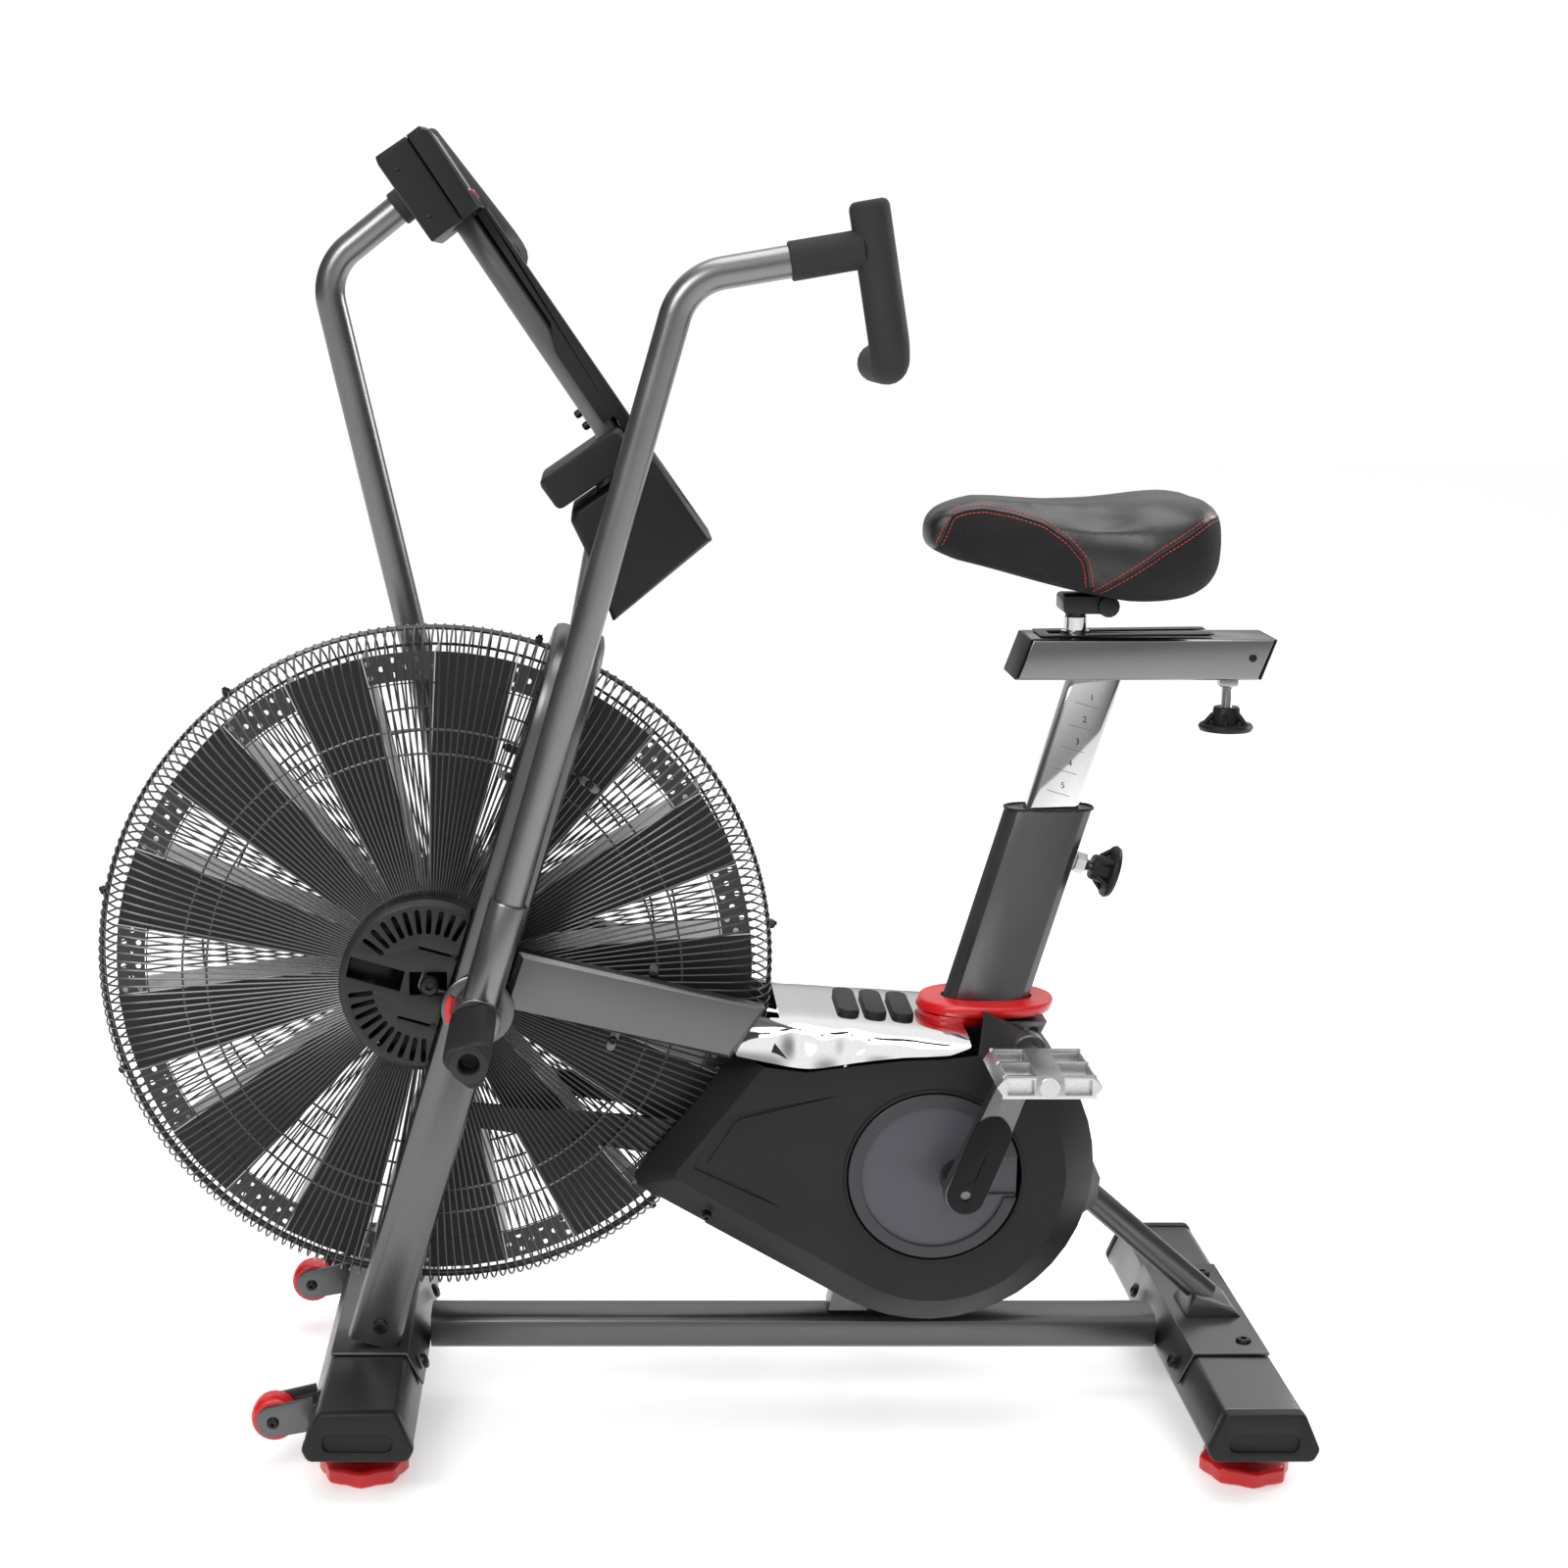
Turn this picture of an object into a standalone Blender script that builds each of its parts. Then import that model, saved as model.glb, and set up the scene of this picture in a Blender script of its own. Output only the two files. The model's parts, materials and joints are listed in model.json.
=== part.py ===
"""Air bike with a caged fan, swinging arms, pedals, a sliding seat and a console mast.

Metres, +Z up. The origin is on the floor under the middle of the bike, the fan is at -X, and the
left side is at -Y. Moving pieces have their origins on their joint axes.
"""

import math

import bmesh
import bpy
from mathutils import Matrix, Vector

GAP = 0.0003

# Main stations, as (x, z) in the side view.
FAN = (-0.275, 0.509)
CRANK = (0.290, 0.295)
PIVOT = (-0.2243, 0.4835)
COVER_CENTRE = (0.264, 0.296)
FORK_FOOT = (-0.342, 0.105)
FORK_TOP = (-0.1179, 0.8600)
SEAT_FOOT = (0.3299, 0.462)
SEAT_LEAN = math.radians(16.36)
PANEL_TOP = (-0.323, 1.362)
PANEL_SLOPE = math.radians(55.6)
ARM_SWING = math.radians(14.3)
ARM_MIDDLE = math.radians(1.43)

# Stabilisers.
FRONT_X, REAR_X = -0.345, 0.589
STAB_HALF = 0.2775
STAB_LOW, STAB_HIGH = 0.045, 0.0985
CAP_LENGTH = 0.015
FOOT_Y, FOOT_RADIUS, FOOT_HEIGHT = 0.200, 0.0475, 0.019
WHEEL_X, WHEEL_Y, WHEEL_Z, WHEEL_RADIUS = -0.440, 0.190, 0.058, 0.0245

# Fork, booms, mast and tubes.
LEG_Y, LEG_DEEP, LEG_WIDE = 0.103, 0.057, 0.025
CAGE_RADIUS, CAGE_Y = 0.369, 0.080
BLADE_RADIUS, BLADES, BLADE_Y = 0.345, 13, 0.038
ARM_Y, ARM_RADIUS = 0.150, 0.0164
PEG_IN, PEG_OUT = 0.174, 0.312
COVER_Y, COVER_RADIUS, COVER_WALL = 0.112, 0.178, 0.003
DISC_RADIUS = 0.092
CRANK_LENGTH = 0.170
PEDAL_IN, PEDAL_OUT = 0.196, 0.292
LEVER = 0.135
ARM_REACH, LEVEL_TUBE, HOOK = 0.7884, 0.1045, 0.105
LEVEL_ALL = {-1: 0.190, 1: 0.172}
ROD_Y, ROD_THICK = 0.0645, 0.008
PULLEY_Y = 0.050
ECCENTRIC = LEVER * math.sin(ARM_SWING)

POST_WIDE, POST_DEEP, POST_OUT, POST_FOOT = 0.030, 0.054, 0.0025, 0.085
TUBE_TOP, KNOB_UP = 0.678, 0.176
SLIDER_LOW, SLIDER_HIGH, SLIDER_HALF = 0.8235, 0.8675, 0.040
SADDLE_NOSE, SADDLE_REAR = 0.248, 0.557
CLAMP_TOP = 0.9115


# ---- Helpers ------------------------------------------------------------------------------------


def clear_scene():
    for obj in list(bpy.data.objects):
        bpy.data.objects.remove(obj, do_unlink=True)


def finish_material(name, color, roughness, metallic=0.0):
    made = bpy.data.materials.new(name)
    made.use_nodes = True
    shader = made.node_tree.nodes["Principled BSDF"]
    shader.inputs["Base Color"].default_value = (*color, 1.0)
    shader.inputs["Roughness"].default_value = roughness
    shader.inputs["Metallic"].default_value = metallic
    return made


def at(x, y, z):
    return Vector((x, y, z))


def add(name, bm, material, origin=(0, 0, 0), smooth=0.6):
    """Makes an object of the mesh, with its origin at the given point and its faces pointing out."""
    bmesh.ops.remove_doubles(bm, verts=bm.verts, dist=1e-6)
    bmesh.ops.recalc_face_normals(bm, faces=bm.faces)
    bmesh.ops.translate(bm, verts=bm.verts, vec=-Vector(origin))
    mesh = bpy.data.meshes.new(name)
    bm.to_mesh(mesh)
    bm.free()
    mesh.materials.append(material)
    mesh.shade_smooth()
    mesh.set_sharp_from_angle(angle=smooth)
    obj = bpy.data.objects.new(name, mesh)
    obj.location = origin
    bpy.context.scene.collection.objects.link(obj)
    return obj


def add_body(bm, rings, closed=False):
    """Bridges a row of equal rings of points into one closed body in the mesh."""
    loops = [[bm.verts.new(p) for p in ring] for ring in rings]
    count = len(loops[0])
    faces = []
    pairs = list(zip(loops, loops[1:]))
    if closed:
        pairs.append((loops[-1], loops[0]))
    for low, high in pairs:
        for i in range(count):
            j = (i + 1) % count
            faces.append(bm.faces.new((low[i], low[j], high[j], high[i])))
    if not closed:
        faces.append(bm.faces.new(loops[0][::-1]))
        faces.append(bm.faces.new(loops[-1]))
    bmesh.ops.recalc_face_normals(bm, faces=faces)
    return faces


def loft(*rings, closed=False):
    bm = bmesh.new()
    add_body(bm, rings, closed)
    return bm


def arc(centre, radius, start, end, steps):
    """Points of an arc, with angles in degrees."""
    turns = [math.radians(start + (end - start) * i / steps) for i in range(steps + 1)]
    return [(centre[0] + radius * math.cos(t), centre[1] + radius * math.sin(t)) for t in turns]


def circle(centre, radius, steps, start=0.0):
    return arc(centre, radius, start, start + 360, steps)[:-1]


def rounded(corners, radius, steps=3):
    """Rounds every corner of a closed outline."""
    points = []
    count = len(corners)
    for i, corner in enumerate(corners):
        here = Vector(corner)
        before = (Vector(corners[i - 1]) - here).normalized()
        after = (Vector(corners[(i + 1) % count]) - here).normalized()
        half = before.angle(after) / 2
        reach = radius / math.tan(half)
        middle = here + (before + after).normalized() * radius / math.sin(half)
        first, last = here + before * reach - middle, here + after * reach - middle
        turn = first.angle_signed(last)
        for k in range(steps + 1):
            a = -turn * k / steps
            spun = (
                first.x * math.cos(a) - first.y * math.sin(a), first.x * math.sin(a) + first.y * math.cos(a)
            )
            points.append((middle.x + spun[0], middle.y + spun[1]))
    return points


def box_outline(wide, high, radius=0.0, steps=2):
    corners = [(-wide / 2, -high / 2), (wide / 2, -high / 2), (wide / 2, high / 2), (-wide / 2, high / 2)]
    return rounded(corners, radius, steps) if radius else corners


def side_ring(outline, y, grow=0.0):
    """An outline in the side view, placed at y and scaled about its middle by grow metres."""
    if not grow:
        return [at(x, y, z) for x, z in outline]
    xs, zs = [p[0] for p in outline], [p[1] for p in outline]
    cx, cz = (min(xs) + max(xs)) / 2, (min(zs) + max(zs)) / 2
    kx, kz = 1 + 2 * grow / (max(xs) - min(xs)), 1 + 2 * grow / (max(zs) - min(zs))
    return [at(cx + (x - cx) * kx, y, cz + (z - cz) * kz) for x, z in outline]


def plate(outline, y0, y1):
    return loft(side_ring(outline, y0), side_ring(outline, y1))


def disc(centre, radius, y0, y1, steps=24):
    return plate(circle(centre, radius, steps), y0, y1)


def turned(centre, profile, steps=24):
    """A body turned about an axis along Y through centre. The profile is a row of (radius, y)."""
    return loft(*[side_ring(circle(centre, r, steps), y) for r, y in profile])


def upright(centre, profile, steps=20):
    """A body turned about a vertical axis through (x, y). The profile is a row of (radius, z)."""
    return loft(*[[at(x, y, z) for x, y in circle(centre, r, steps)] for r, z in profile])


def rod(start, end, profile, steps=16):
    """A body turned about the line from start to end. The profile is a row of (radius, distance)."""
    start, end = Vector(start), Vector(end)
    along = (end - start).normalized()
    turn = along.to_track_quat("Z", "Y").to_matrix()
    rings = []
    for radius, distance in profile:
        rings.append([start + turn @ Vector((x, y, distance)) for x, y in circle((0, 0), radius, steps)])
    return loft(*rings)


def sweep(path, outline, across):
    """A tube along the path. The outline's first number runs along `across`, which stays fixed."""
    across = Vector(across).normalized()
    rings = []
    for i, point in enumerate(path):
        before = (point - path[i - 1]).normalized() if i else None
        after = (path[i + 1] - point).normalized() if i < len(path) - 1 else None
        along = (before or after) + (after or before)
        stretch = 1.0
        if before and after:
            stretch = 1 / max(math.cos(before.angle(after) / 2), 0.5)
        other = along.normalized().cross(across)
        rings.append([point + across * a + other * b * stretch for a, b in outline])
    return loft(*rings)


def bent(corners, radius, steps=4):
    """A path through the corners, with each inner corner turned into an arc."""
    path = [Vector(corners[0])]
    for i in range(1, len(corners) - 1):
        here = Vector(corners[i])
        before = (Vector(corners[i - 1]) - here).normalized()
        after = (Vector(corners[i + 1]) - here).normalized()
        half = before.angle(after) / 2
        middle = here + (before + after).normalized() * radius / math.sin(half)
        first = here + before * radius / math.tan(half) - middle
        last = here + after * radius / math.tan(half) - middle
        for k in range(steps + 1):
            path.append(middle + spin_between(first, last, k / steps))
    path.append(Vector(corners[-1]))
    return path


def spin_between(first, last, share):
    turn = first.rotation_difference(last)
    return Matrix.Rotation(turn.angle * share, 3, turn.axis) @ first


def helper(name, bm):
    obj = add(name, bm, MATERIALS["steel"])
    obj.hide_render = True
    obj.display_type = "WIRE"
    return obj


def settle(obj):
    """Applies the object's modifiers and removes the helpers that they used."""
    graph = bpy.context.evaluated_depsgraph_get()
    mesh = bpy.data.meshes.new_from_object(obj.evaluated_get(graph))
    used = [m.object for m in obj.modifiers if m.type == "BOOLEAN"]
    obj.modifiers.clear()
    obj.data = mesh
    for other in used:
        bpy.data.objects.remove(other, do_unlink=True)
    return obj


def combine(obj, operation, *meshes):
    for i, bm in enumerate(meshes):
        modifier = obj.modifiers.new(f"{operation}_{i}", "BOOLEAN")
        modifier.operation = operation
        modifier.object = helper(f"{obj.name}_helper_{i}", bm)
    return settle(obj)


def join(obj, *meshes):
    return combine(obj, "UNION", *meshes)


def cut(obj, *meshes):
    return combine(obj, "DIFFERENCE", *meshes)


def lean_point(foot, lean, distance):
    return foot[0] + math.sin(lean) * distance, foot[1] + math.cos(lean) * distance


def on_panel(s, t):
    """A side-view point, s down the console panel from its top and t out towards the rider."""
    ps, pc = math.sin(PANEL_SLOPE), math.cos(PANEL_SLOPE)
    return PANEL_TOP[0] + s * pc + t * ps, PANEL_TOP[1] - s * ps + t * pc


# ---- Base ---------------------------------------------------------------------------------------


def stabiliser_outline(x, shrink=0.0):
    corners = [
        (-0.052, STAB_LOW), (0.052, STAB_LOW), (0.0585, 0.058), (0.041, STAB_HIGH), (-0.041, STAB_HIGH),
        (-0.0585, 0.058),
    ]
    points = rounded(corners, 0.007, 2)
    middle = (STAB_LOW + STAB_HIGH) / 2
    return [(x + a * (1 - shrink / 0.058), middle + (z - middle) * (1 - shrink / 0.027)) for a, z in points]


def base():
    tube_end = STAB_HALF - CAP_LENGTH
    bodies = {}
    for name, x in (("front", FRONT_X), ("rear", REAR_X)):
        outline = stabiliser_outline(x, 0.0008)
        bodies[name] = add(f"{name}_stabiliser", plate(outline, -tube_end, tube_end), MATERIALS["frame"])
        for side, word in ((-1, "left"), (1, "right")):
            build_cap(f"{name}_cap_{word}", x, side)
            build_foot(f"{name}_foot_{word}", x, side)
    brackets = []
    for side in (-1, 1):
        y = side * WHEEL_Y
        reach = [
            (FRONT_X - 0.045, 0.052), (FRONT_X - 0.045, 0.080), (WHEEL_X - 0.006, 0.064),
            (WHEEL_X - 0.006, 0.052),
        ]
        for a, b in ((-0.019, -0.015), (0.015, 0.019)):
            brackets.append(plate(rounded(reach, 0.004, 2), y + a, y + b))
    join(bodies["front"], *brackets)
    for side, word in ((-1, "left"), (1, "right")):
        build_wheel(f"transport_wheel_{word}", side)


def build_cap(name, x, side):
    start, end = side * (STAB_HALF - CAP_LENGTH + GAP), side * STAB_HALF
    outline = stabiliser_outline(x)
    small = stabiliser_outline(x, 0.002)
    bm = loft(side_ring(outline, start), side_ring(outline, end - side * 0.003), side_ring(small, end))
    cap = add(name, bm, MATERIALS["plastic"])
    recess = rounded([(x - 0.036, 0.056), (x + 0.036, 0.056), (x + 0.036, 0.076), (x - 0.036, 0.076)], 0.008)
    cut(cap, plate(recess, end - side * 0.005, end + side * 0.01))


def build_foot(name, x, side):
    centre = (x, side * FOOT_Y)
    lobes = 8
    rings = []
    for low, scale in ((0.0, 0.92), (0.003, 1.0), (FOOT_HEIGHT - 0.003, 1.0), (FOOT_HEIGHT, 0.93)):
        ring = []
        for i in range(lobes * 4):
            t = 2 * math.pi * i / (lobes * 4)
            r = scale * (FOOT_RADIUS - 0.0025 + 0.0025 * math.cos(lobes * t))
            ring.append(at(centre[0] + r * math.cos(t), centre[1] + r * math.sin(t), low))
        rings.append(ring)
    foot = add(name, loft(*rings), MATERIALS["red"], origin=(*centre, 0))
    join(foot, upright(centre, [(0.006, FOOT_HEIGHT - 0.002), (0.006, STAB_LOW - GAP)], 12))


def build_wheel(name, side):
    y, r = side * WHEEL_Y, WHEEL_RADIUS
    profile = [
        (0.021, -0.0145), (r - 0.001, -0.011), (r, -0.006), (r, 0.006), (r - 0.001, 0.011), (0.021, 0.0145)
    ]
    centre = (WHEEL_X, WHEEL_Z)
    add(
        name, turned(centre, [(a, y + b) for a, b in profile]), MATERIALS["red"],
        origin=(WHEEL_X, y, WHEEL_Z),
    )


def saddle_plates():
    """Bent plates over the stabilisers, each with a flange down the inner face."""
    for name, x, inward in (("front", FRONT_X, 1), ("rear", REAR_X, -1)):
        half, thick, top = 0.041, 0.003, STAB_HIGH + GAP
        outline = [
            (-half, top), (-half, top + thick), (half + 0.001, top + thick), (0.0595, 0.066),
            (0.0568, 0.0655), (half - 0.001, top),
        ]
        outline = [(x + inward * a, z) for a, z in outline]
        bm = plate(outline, -0.130, 0.130)
        add(f"{name}_saddle_plate", bm, MATERIALS["frame"])
    rail = [at(FRONT_X + 0.0605, 0, 0.0815), at(REAR_X - 0.0605, 0, 0.0815)]
    add("bottom_rail", sweep(rail, box_outline(0.058, 0.040, 0.0125, 3), (0, 1, 0)), MATERIALS["frame"])


# ---- Frame --------------------------------------------------------------------------------------


def fork_axis():
    return (Vector(FORK_TOP) - Vector(FORK_FOOT)).normalized()


def fork_line(distance, out=0.0):
    """A side-view point on the fork, at a distance up from its foot and moved back by out."""
    axis = fork_axis()
    return FORK_FOOT[0] + axis.x * distance + axis.y * out, FORK_FOOT[1] + axis.y * distance - axis.x * out


def build_fork():
    axis = fork_axis()
    normal = at(axis.y, 0, -axis.x)
    foot = fork_line(0.0)
    corners = [
        at(foot[0], -LEG_Y, foot[1]), at(FORK_TOP[0], -LEG_Y, FORK_TOP[1]),
        at(FORK_TOP[0], LEG_Y, FORK_TOP[1]), at(foot[0], LEG_Y, foot[1]),
    ]
    path = bent(corners, 0.085, 6)
    fork = add("fork", sweep(path, box_outline(LEG_DEEP, LEG_WIDE, 0.009, 2), normal), MATERIALS["frame"])
    extra = []
    tab = [
        fork_line(0.40, -0.020), fork_line(0.40, -0.040), (FAN[0] - 0.008, FAN[1] + 0.014),
        (FAN[0] - 0.014, FAN[1] - 0.006), fork_line(0.352, -0.020),
    ]
    for side in (-1, 1):
        extra.append(plate(tab, side * 0.0905, side * 0.0965))
    join(fork, *extra)
    floor = STAB_HIGH + 0.003 + 2 * GAP
    cut(fork, plate([(-0.5, 0.0), (-0.2, 0.0), (-0.2, floor), (-0.5, floor)], -0.2, 0.2))
    holes = [disc(FAN, CAGE_RADIUS + 0.004, -0.041, 0.041, 64)]
    holes += [disc(PIVOT, 0.0123, side * 0.08, side * 0.13, 16) for side in (-1, 1)]
    holes += [disc(FAN, 0.0063, side * 0.08, side * 0.11, 12) for side in (-1, 1)]
    cut(fork, *holes)


def boom_point(distance, drop=0.0):
    """A side-view point on the boom's top edge, at a distance back from the fork and dropped."""
    slope = math.radians(13.5)
    start = (-0.180, 0.5455)
    x = start[0] + math.cos(slope) * distance - math.sin(slope) * drop
    return x, start[1] - math.sin(slope) * distance - math.cos(slope) * drop


def build_boom(side, word):
    height = 0.062
    lean = math.atan2(fork_axis().x, fork_axis().y)
    front = fork_line(0.4, LEG_DEEP / 2 + 0.0008)
    top, low = boom_point(0.0), boom_point(0.0, height)
    top = (front[0] + math.tan(lean) * (top[1] - front[1]), top[1])
    low = (front[0] + math.tan(lean) * (low[1] - front[1]), low[1])
    end_top, end_low = boom_point(0.268), boom_point(0.2455, height)
    outline = [low, end_low, end_top, top]
    rings = [(0.0905, -0.006), (0.0955, 0.0), (0.1125, 0.0), (0.118, -0.006)]
    boom = add(f"boom_{word}", loft(*[side_ring(outline, side * y, g) for y, g in rings]), MATERIALS["frame"])
    tongue = [
        boom_point(0.234, 0.020), boom_point(0.234, 0.046), boom_point(0.472, 0.046),
        boom_point(0.472, 0.020),
    ]
    step = [
        boom_point(0.232, 0.018), boom_point(0.232, 0.048), boom_point(0.244, 0.048),
        boom_point(0.244, 0.018),
    ]
    join(boom, plate(step, side * 0.073, side * 0.10), plate(tongue, side * 0.072, side * 0.088))
    cut(boom, disc(PIVOT, 0.0285, side * 0.08, side * 0.13, 20))


def build_mast():
    section = box_outline(0.044, 0.027, 0.009, 2)
    top, bend = on_panel(0.030, 0.0392), on_panel(0.378, 0.0392)
    foot = (-0.1135, FORK_TOP[1] + LEG_WIDE / 2 + 0.0035)
    path = bent([at(top[0], 0, top[1]), at(bend[0], 0, bend[1]), at(foot[0], 0, foot[1])], 0.06, 4)
    add("mast", sweep(path, section, (0, 1, 0)), MATERIALS["frame"])
    return path


def seat_line(distance, out=0.0):
    x, z = lean_point(SEAT_FOOT, SEAT_LEAN, distance)
    return x + math.cos(SEAT_LEAN) * out, z - math.sin(SEAT_LEAN) * out


def seat_sweep(start, end, outline, out=0.0):
    """A straight tube up the seat line; the outline's first number runs across the bike."""
    low, high = seat_line(start, out), seat_line(end, out)
    return sweep([at(low[0], 0, low[1]), at(high[0], 0, high[1])], outline, (0, 1, 0))


def aero_outline(wide, deep):
    """A flat tube with full round front and rear edges."""
    r = wide / 2
    back = [(x, y - (deep / 2 - r)) for x, y in arc((0, 0), r, 180, 360, 6)]
    front = [(x, y + (deep / 2 - r)) for x, y in arc((0, 0), r, 0, 180, 6)]
    return back + front


def build_seat_tube():
    """The seat tube, open at the top, with the frame core that holds the crank under it."""
    tube = add("seat_tube", seat_sweep(-0.06, 0.242, aero_outline(0.046, 0.092)), MATERIALS["frame"])
    core = [(0.262, 0.305), (0.262, 0.272), (0.170, 0.140), (0.162, 0.1048), (0.205, 0.1048), (0.215, 0.135)]
    core += [(0.318, 0.270), (0.318, 0.330), (0.352, 0.41), (0.262, 0.440), (0.240, 0.430), (0.240, 0.400)]
    shell = disc(CRANK, 0.034, -0.030, 0.030, 20)
    bar = boom_point(0.457, 0.025)
    cross = disc(bar, 0.0115, -0.072 + GAP, 0.072 - GAP, 16)
    tail = [(0.31, 0.262), (0.31, 0.296), (0.4388, 0.272), (0.4388, 0.238)]
    bracket = [(0.331, 0.4488), (0.392, 0.4488), (0.373, 0.408), (0.331, 0.400)]
    join(
        tube, plate(core, -0.019, 0.019), shell, cross, plate(tail, -0.012, 0.012),
        plate(bracket, -0.044, 0.044),
    )
    bore = seat_sweep(-0.02, 0.26, box_outline(POST_WIDE + 0.0025, POST_DEEP + 0.0025, 0.006, 2), POST_OUT)
    above = plate([(0.30, TUBE_TOP), (0.50, TUBE_TOP), (0.50, 0.80), (0.30, 0.80)], -0.05, 0.05)
    knob = seat_line(KNOB_UP)
    knob_end = seat_line(KNOB_UP, 0.06)
    hole = rod(
        at(knob[0], 0, knob[1]), at(knob_end[0], 0, knob_end[1]), [(0.0073, 0.035), (0.0073, 0.06)], 12
    )
    cut(
        tube, bore, above, disc(CRANK, 0.0128, -0.05, 0.05, 16), hole,
        disc((0.378, 0.438), 0.004, -0.06, 0.06, 12),
    )


def build_rear_brace():
    start, end = at(0.4375, 0, 0.249), at(0.590, 0, 0.1165)
    length = (end - start).length
    brace = add("rear_brace", rod(start, end, [(0.0155, 0.0), (0.0155, length)], 16), MATERIALS["frame"])
    gusset = [(0.4395, 0.218), (0.4395, 0.282), (0.449, 0.289), (0.461, 0.262), (0.458, 0.234)]
    join(brace, plate(gusset, -0.022, 0.022))
    floor = STAB_HIGH + 0.003 + 2 * GAP
    pad = [(0.560, floor), (0.622, floor), (0.612, 0.113), (0.572, 0.125)]
    join(brace, plate(pad, -0.030, 0.030))
    cut(
        brace, plate([(0.5, 0.0), (0.7, 0.0), (0.7, floor), (0.5, floor)], -0.1, 0.1),
        plate([(0.40, 0.2), (0.4392, 0.2), (0.4392, 0.3), (0.40, 0.3)], -0.1, 0.1),
    )


# ---- Fan ----------------------------------------------------------------------------------------


def cage_profile():
    """Radius and distance from the middle plane of each ring, from the rim to the hub."""
    rim = [(CAGE_RADIUS, 0.029), (0.3640, 0.0375), (0.3545, 0.0560), (0.3470, 0.0625), (0.330, 0.0690)]
    return rim + [
        (0.300, 0.0735), (0.292, 0.0740), (0.200, 0.0780), (0.193, 0.0783), (0.098, CAGE_Y), (0.060, CAGE_Y)
    ]


def build_cage(side, word):
    """A dished lattice of radial bars and rings, open at the back where the belt and rods pass."""
    bars, bar_share = 26, 0.16
    rings = cage_profile()
    solid_bands = {0, 3, 5, 7, 9}
    bm = bmesh.new()
    grid = []
    for radius, y in rings:
        row = []
        for i in range(bars):
            for offset in (0.0, bar_share):
                t = 2 * math.pi * (i + offset) / bars
                row.append(
                    bm.verts.new((FAN[0] + radius * math.cos(t), side * y, FAN[1] + radius * math.sin(t)))
                )
        grid.append(row)
    count = 2 * bars
    for k in range(len(rings) - 1):
        for i in range(count):
            angle = 360 * (i // 2) / bars
            open_back = k in (1, 2, 3, 4) and 305 < angle < 359
            on_bar = i % 2 == 0
            if open_back or not (on_bar or k in solid_bands):
                continue
            j = (i + 1) % count
            bm.faces.new((grid[k][i], grid[k][j], grid[k + 1][j], grid[k + 1][i]))
    loose = [v for v in bm.verts if not v.link_faces]
    bmesh.ops.delete(bm, geom=loose, context="VERTS")
    cage = add(f"cage_{word}", bm, MATERIALS["wire"])
    modifier = cage.modifiers.new("wall", "SOLIDIFY")
    modifier.thickness = 0.003
    modifier.offset = 0.0
    settle(cage)
    cut(cage, disc(PIVOT, 0.0125, side * 0.07, side * 0.09, 16))


def build_hub_cap(side, word):
    outer, inner = 0.108, 0.0845
    centre = (FAN[0] - 0.004, FAN[1] - 0.003)
    profile = [(0.094, side * inner), (0.094, side * (outer - 0.005)), (0.088, side * outer)]
    cap = add(f"hub_cap_{word}", turned(centre, profile, 40), MATERIALS["plastic"])
    behind = [
        fork_line(-0.2, -LEG_DEEP / 2 - 0.002), fork_line(-0.2, 0.3), fork_line(0.9, 0.3),
        fork_line(0.9, -LEG_DEEP / 2 - 0.002),
    ]
    cuts = [
        disc(centre, 0.088, side * (inner - 0.01), side * (outer - 0.006), 40),
        plate(behind, side * 0.05, side * 0.15),
    ]
    nut = [
        (FAN[0] - 0.022, FAN[1] - 0.013), (FAN[0] + 0.018, FAN[1] - 0.013),
        (FAN[0] + 0.018, FAN[1] + 0.013), (FAN[0] - 0.022, FAN[1] + 0.013),
    ]
    cuts.append(plate(nut, side * 0.095, side * 0.15))
    cut(cap, *cuts)


def build_fan():
    rotor = add(
        "fan_rotor", turned(FAN, [(0.052, -BLADE_Y), (0.052, BLADE_Y)], 26), MATERIALS["blade"],
        origin=(FAN[0], 0, FAN[1]),
    )
    blades = bmesh.new()
    for side in (-1, 1):
        for i in range(BLADES):
            turn = 2 * math.pi * (i + (0.5 if side > 0 else 0.0)) / BLADES + 0.10
            add_blade(blades, side, turn)
    rim = bmesh.new()
    ring = [
        (BLADE_RADIUS - 0.031, -0.0012), (BLADE_RADIUS, -0.0012), (BLADE_RADIUS, 0.0012),
        (BLADE_RADIUS - 0.031, 0.0012),
    ]
    add_body(
        rim,
        [
            [at(FAN[0] + r * math.cos(t), y, FAN[1] + r * math.sin(t)) for r, y in ring]
            for t in (2 * math.pi * k / 52 for k in range(52))
        ],
        closed=True,
    )
    join(rotor, rim)
    modifier = rotor.modifiers.new("blades", "BOOLEAN")
    modifier.operation = "UNION"
    modifier.use_self = True
    modifier.object = helper("blade_helper", blades)
    settle(rotor)
    boss = turned(
        FAN, [(0.020, BLADE_Y - 0.002), (0.020, 0.043), (0.030, 0.0435), (0.030, 0.0565), (0.020, 0.057)],
        26,
    )
    join(rotor, boss)
    cut(rotor, disc(FAN, 0.0066, -0.1, 0.1, 12))
    axle = [(0.006, -0.116), (0.006, 0.116)]
    add("fan_axle", turned(FAN, axle, 12), MATERIALS["steel"])


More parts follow.
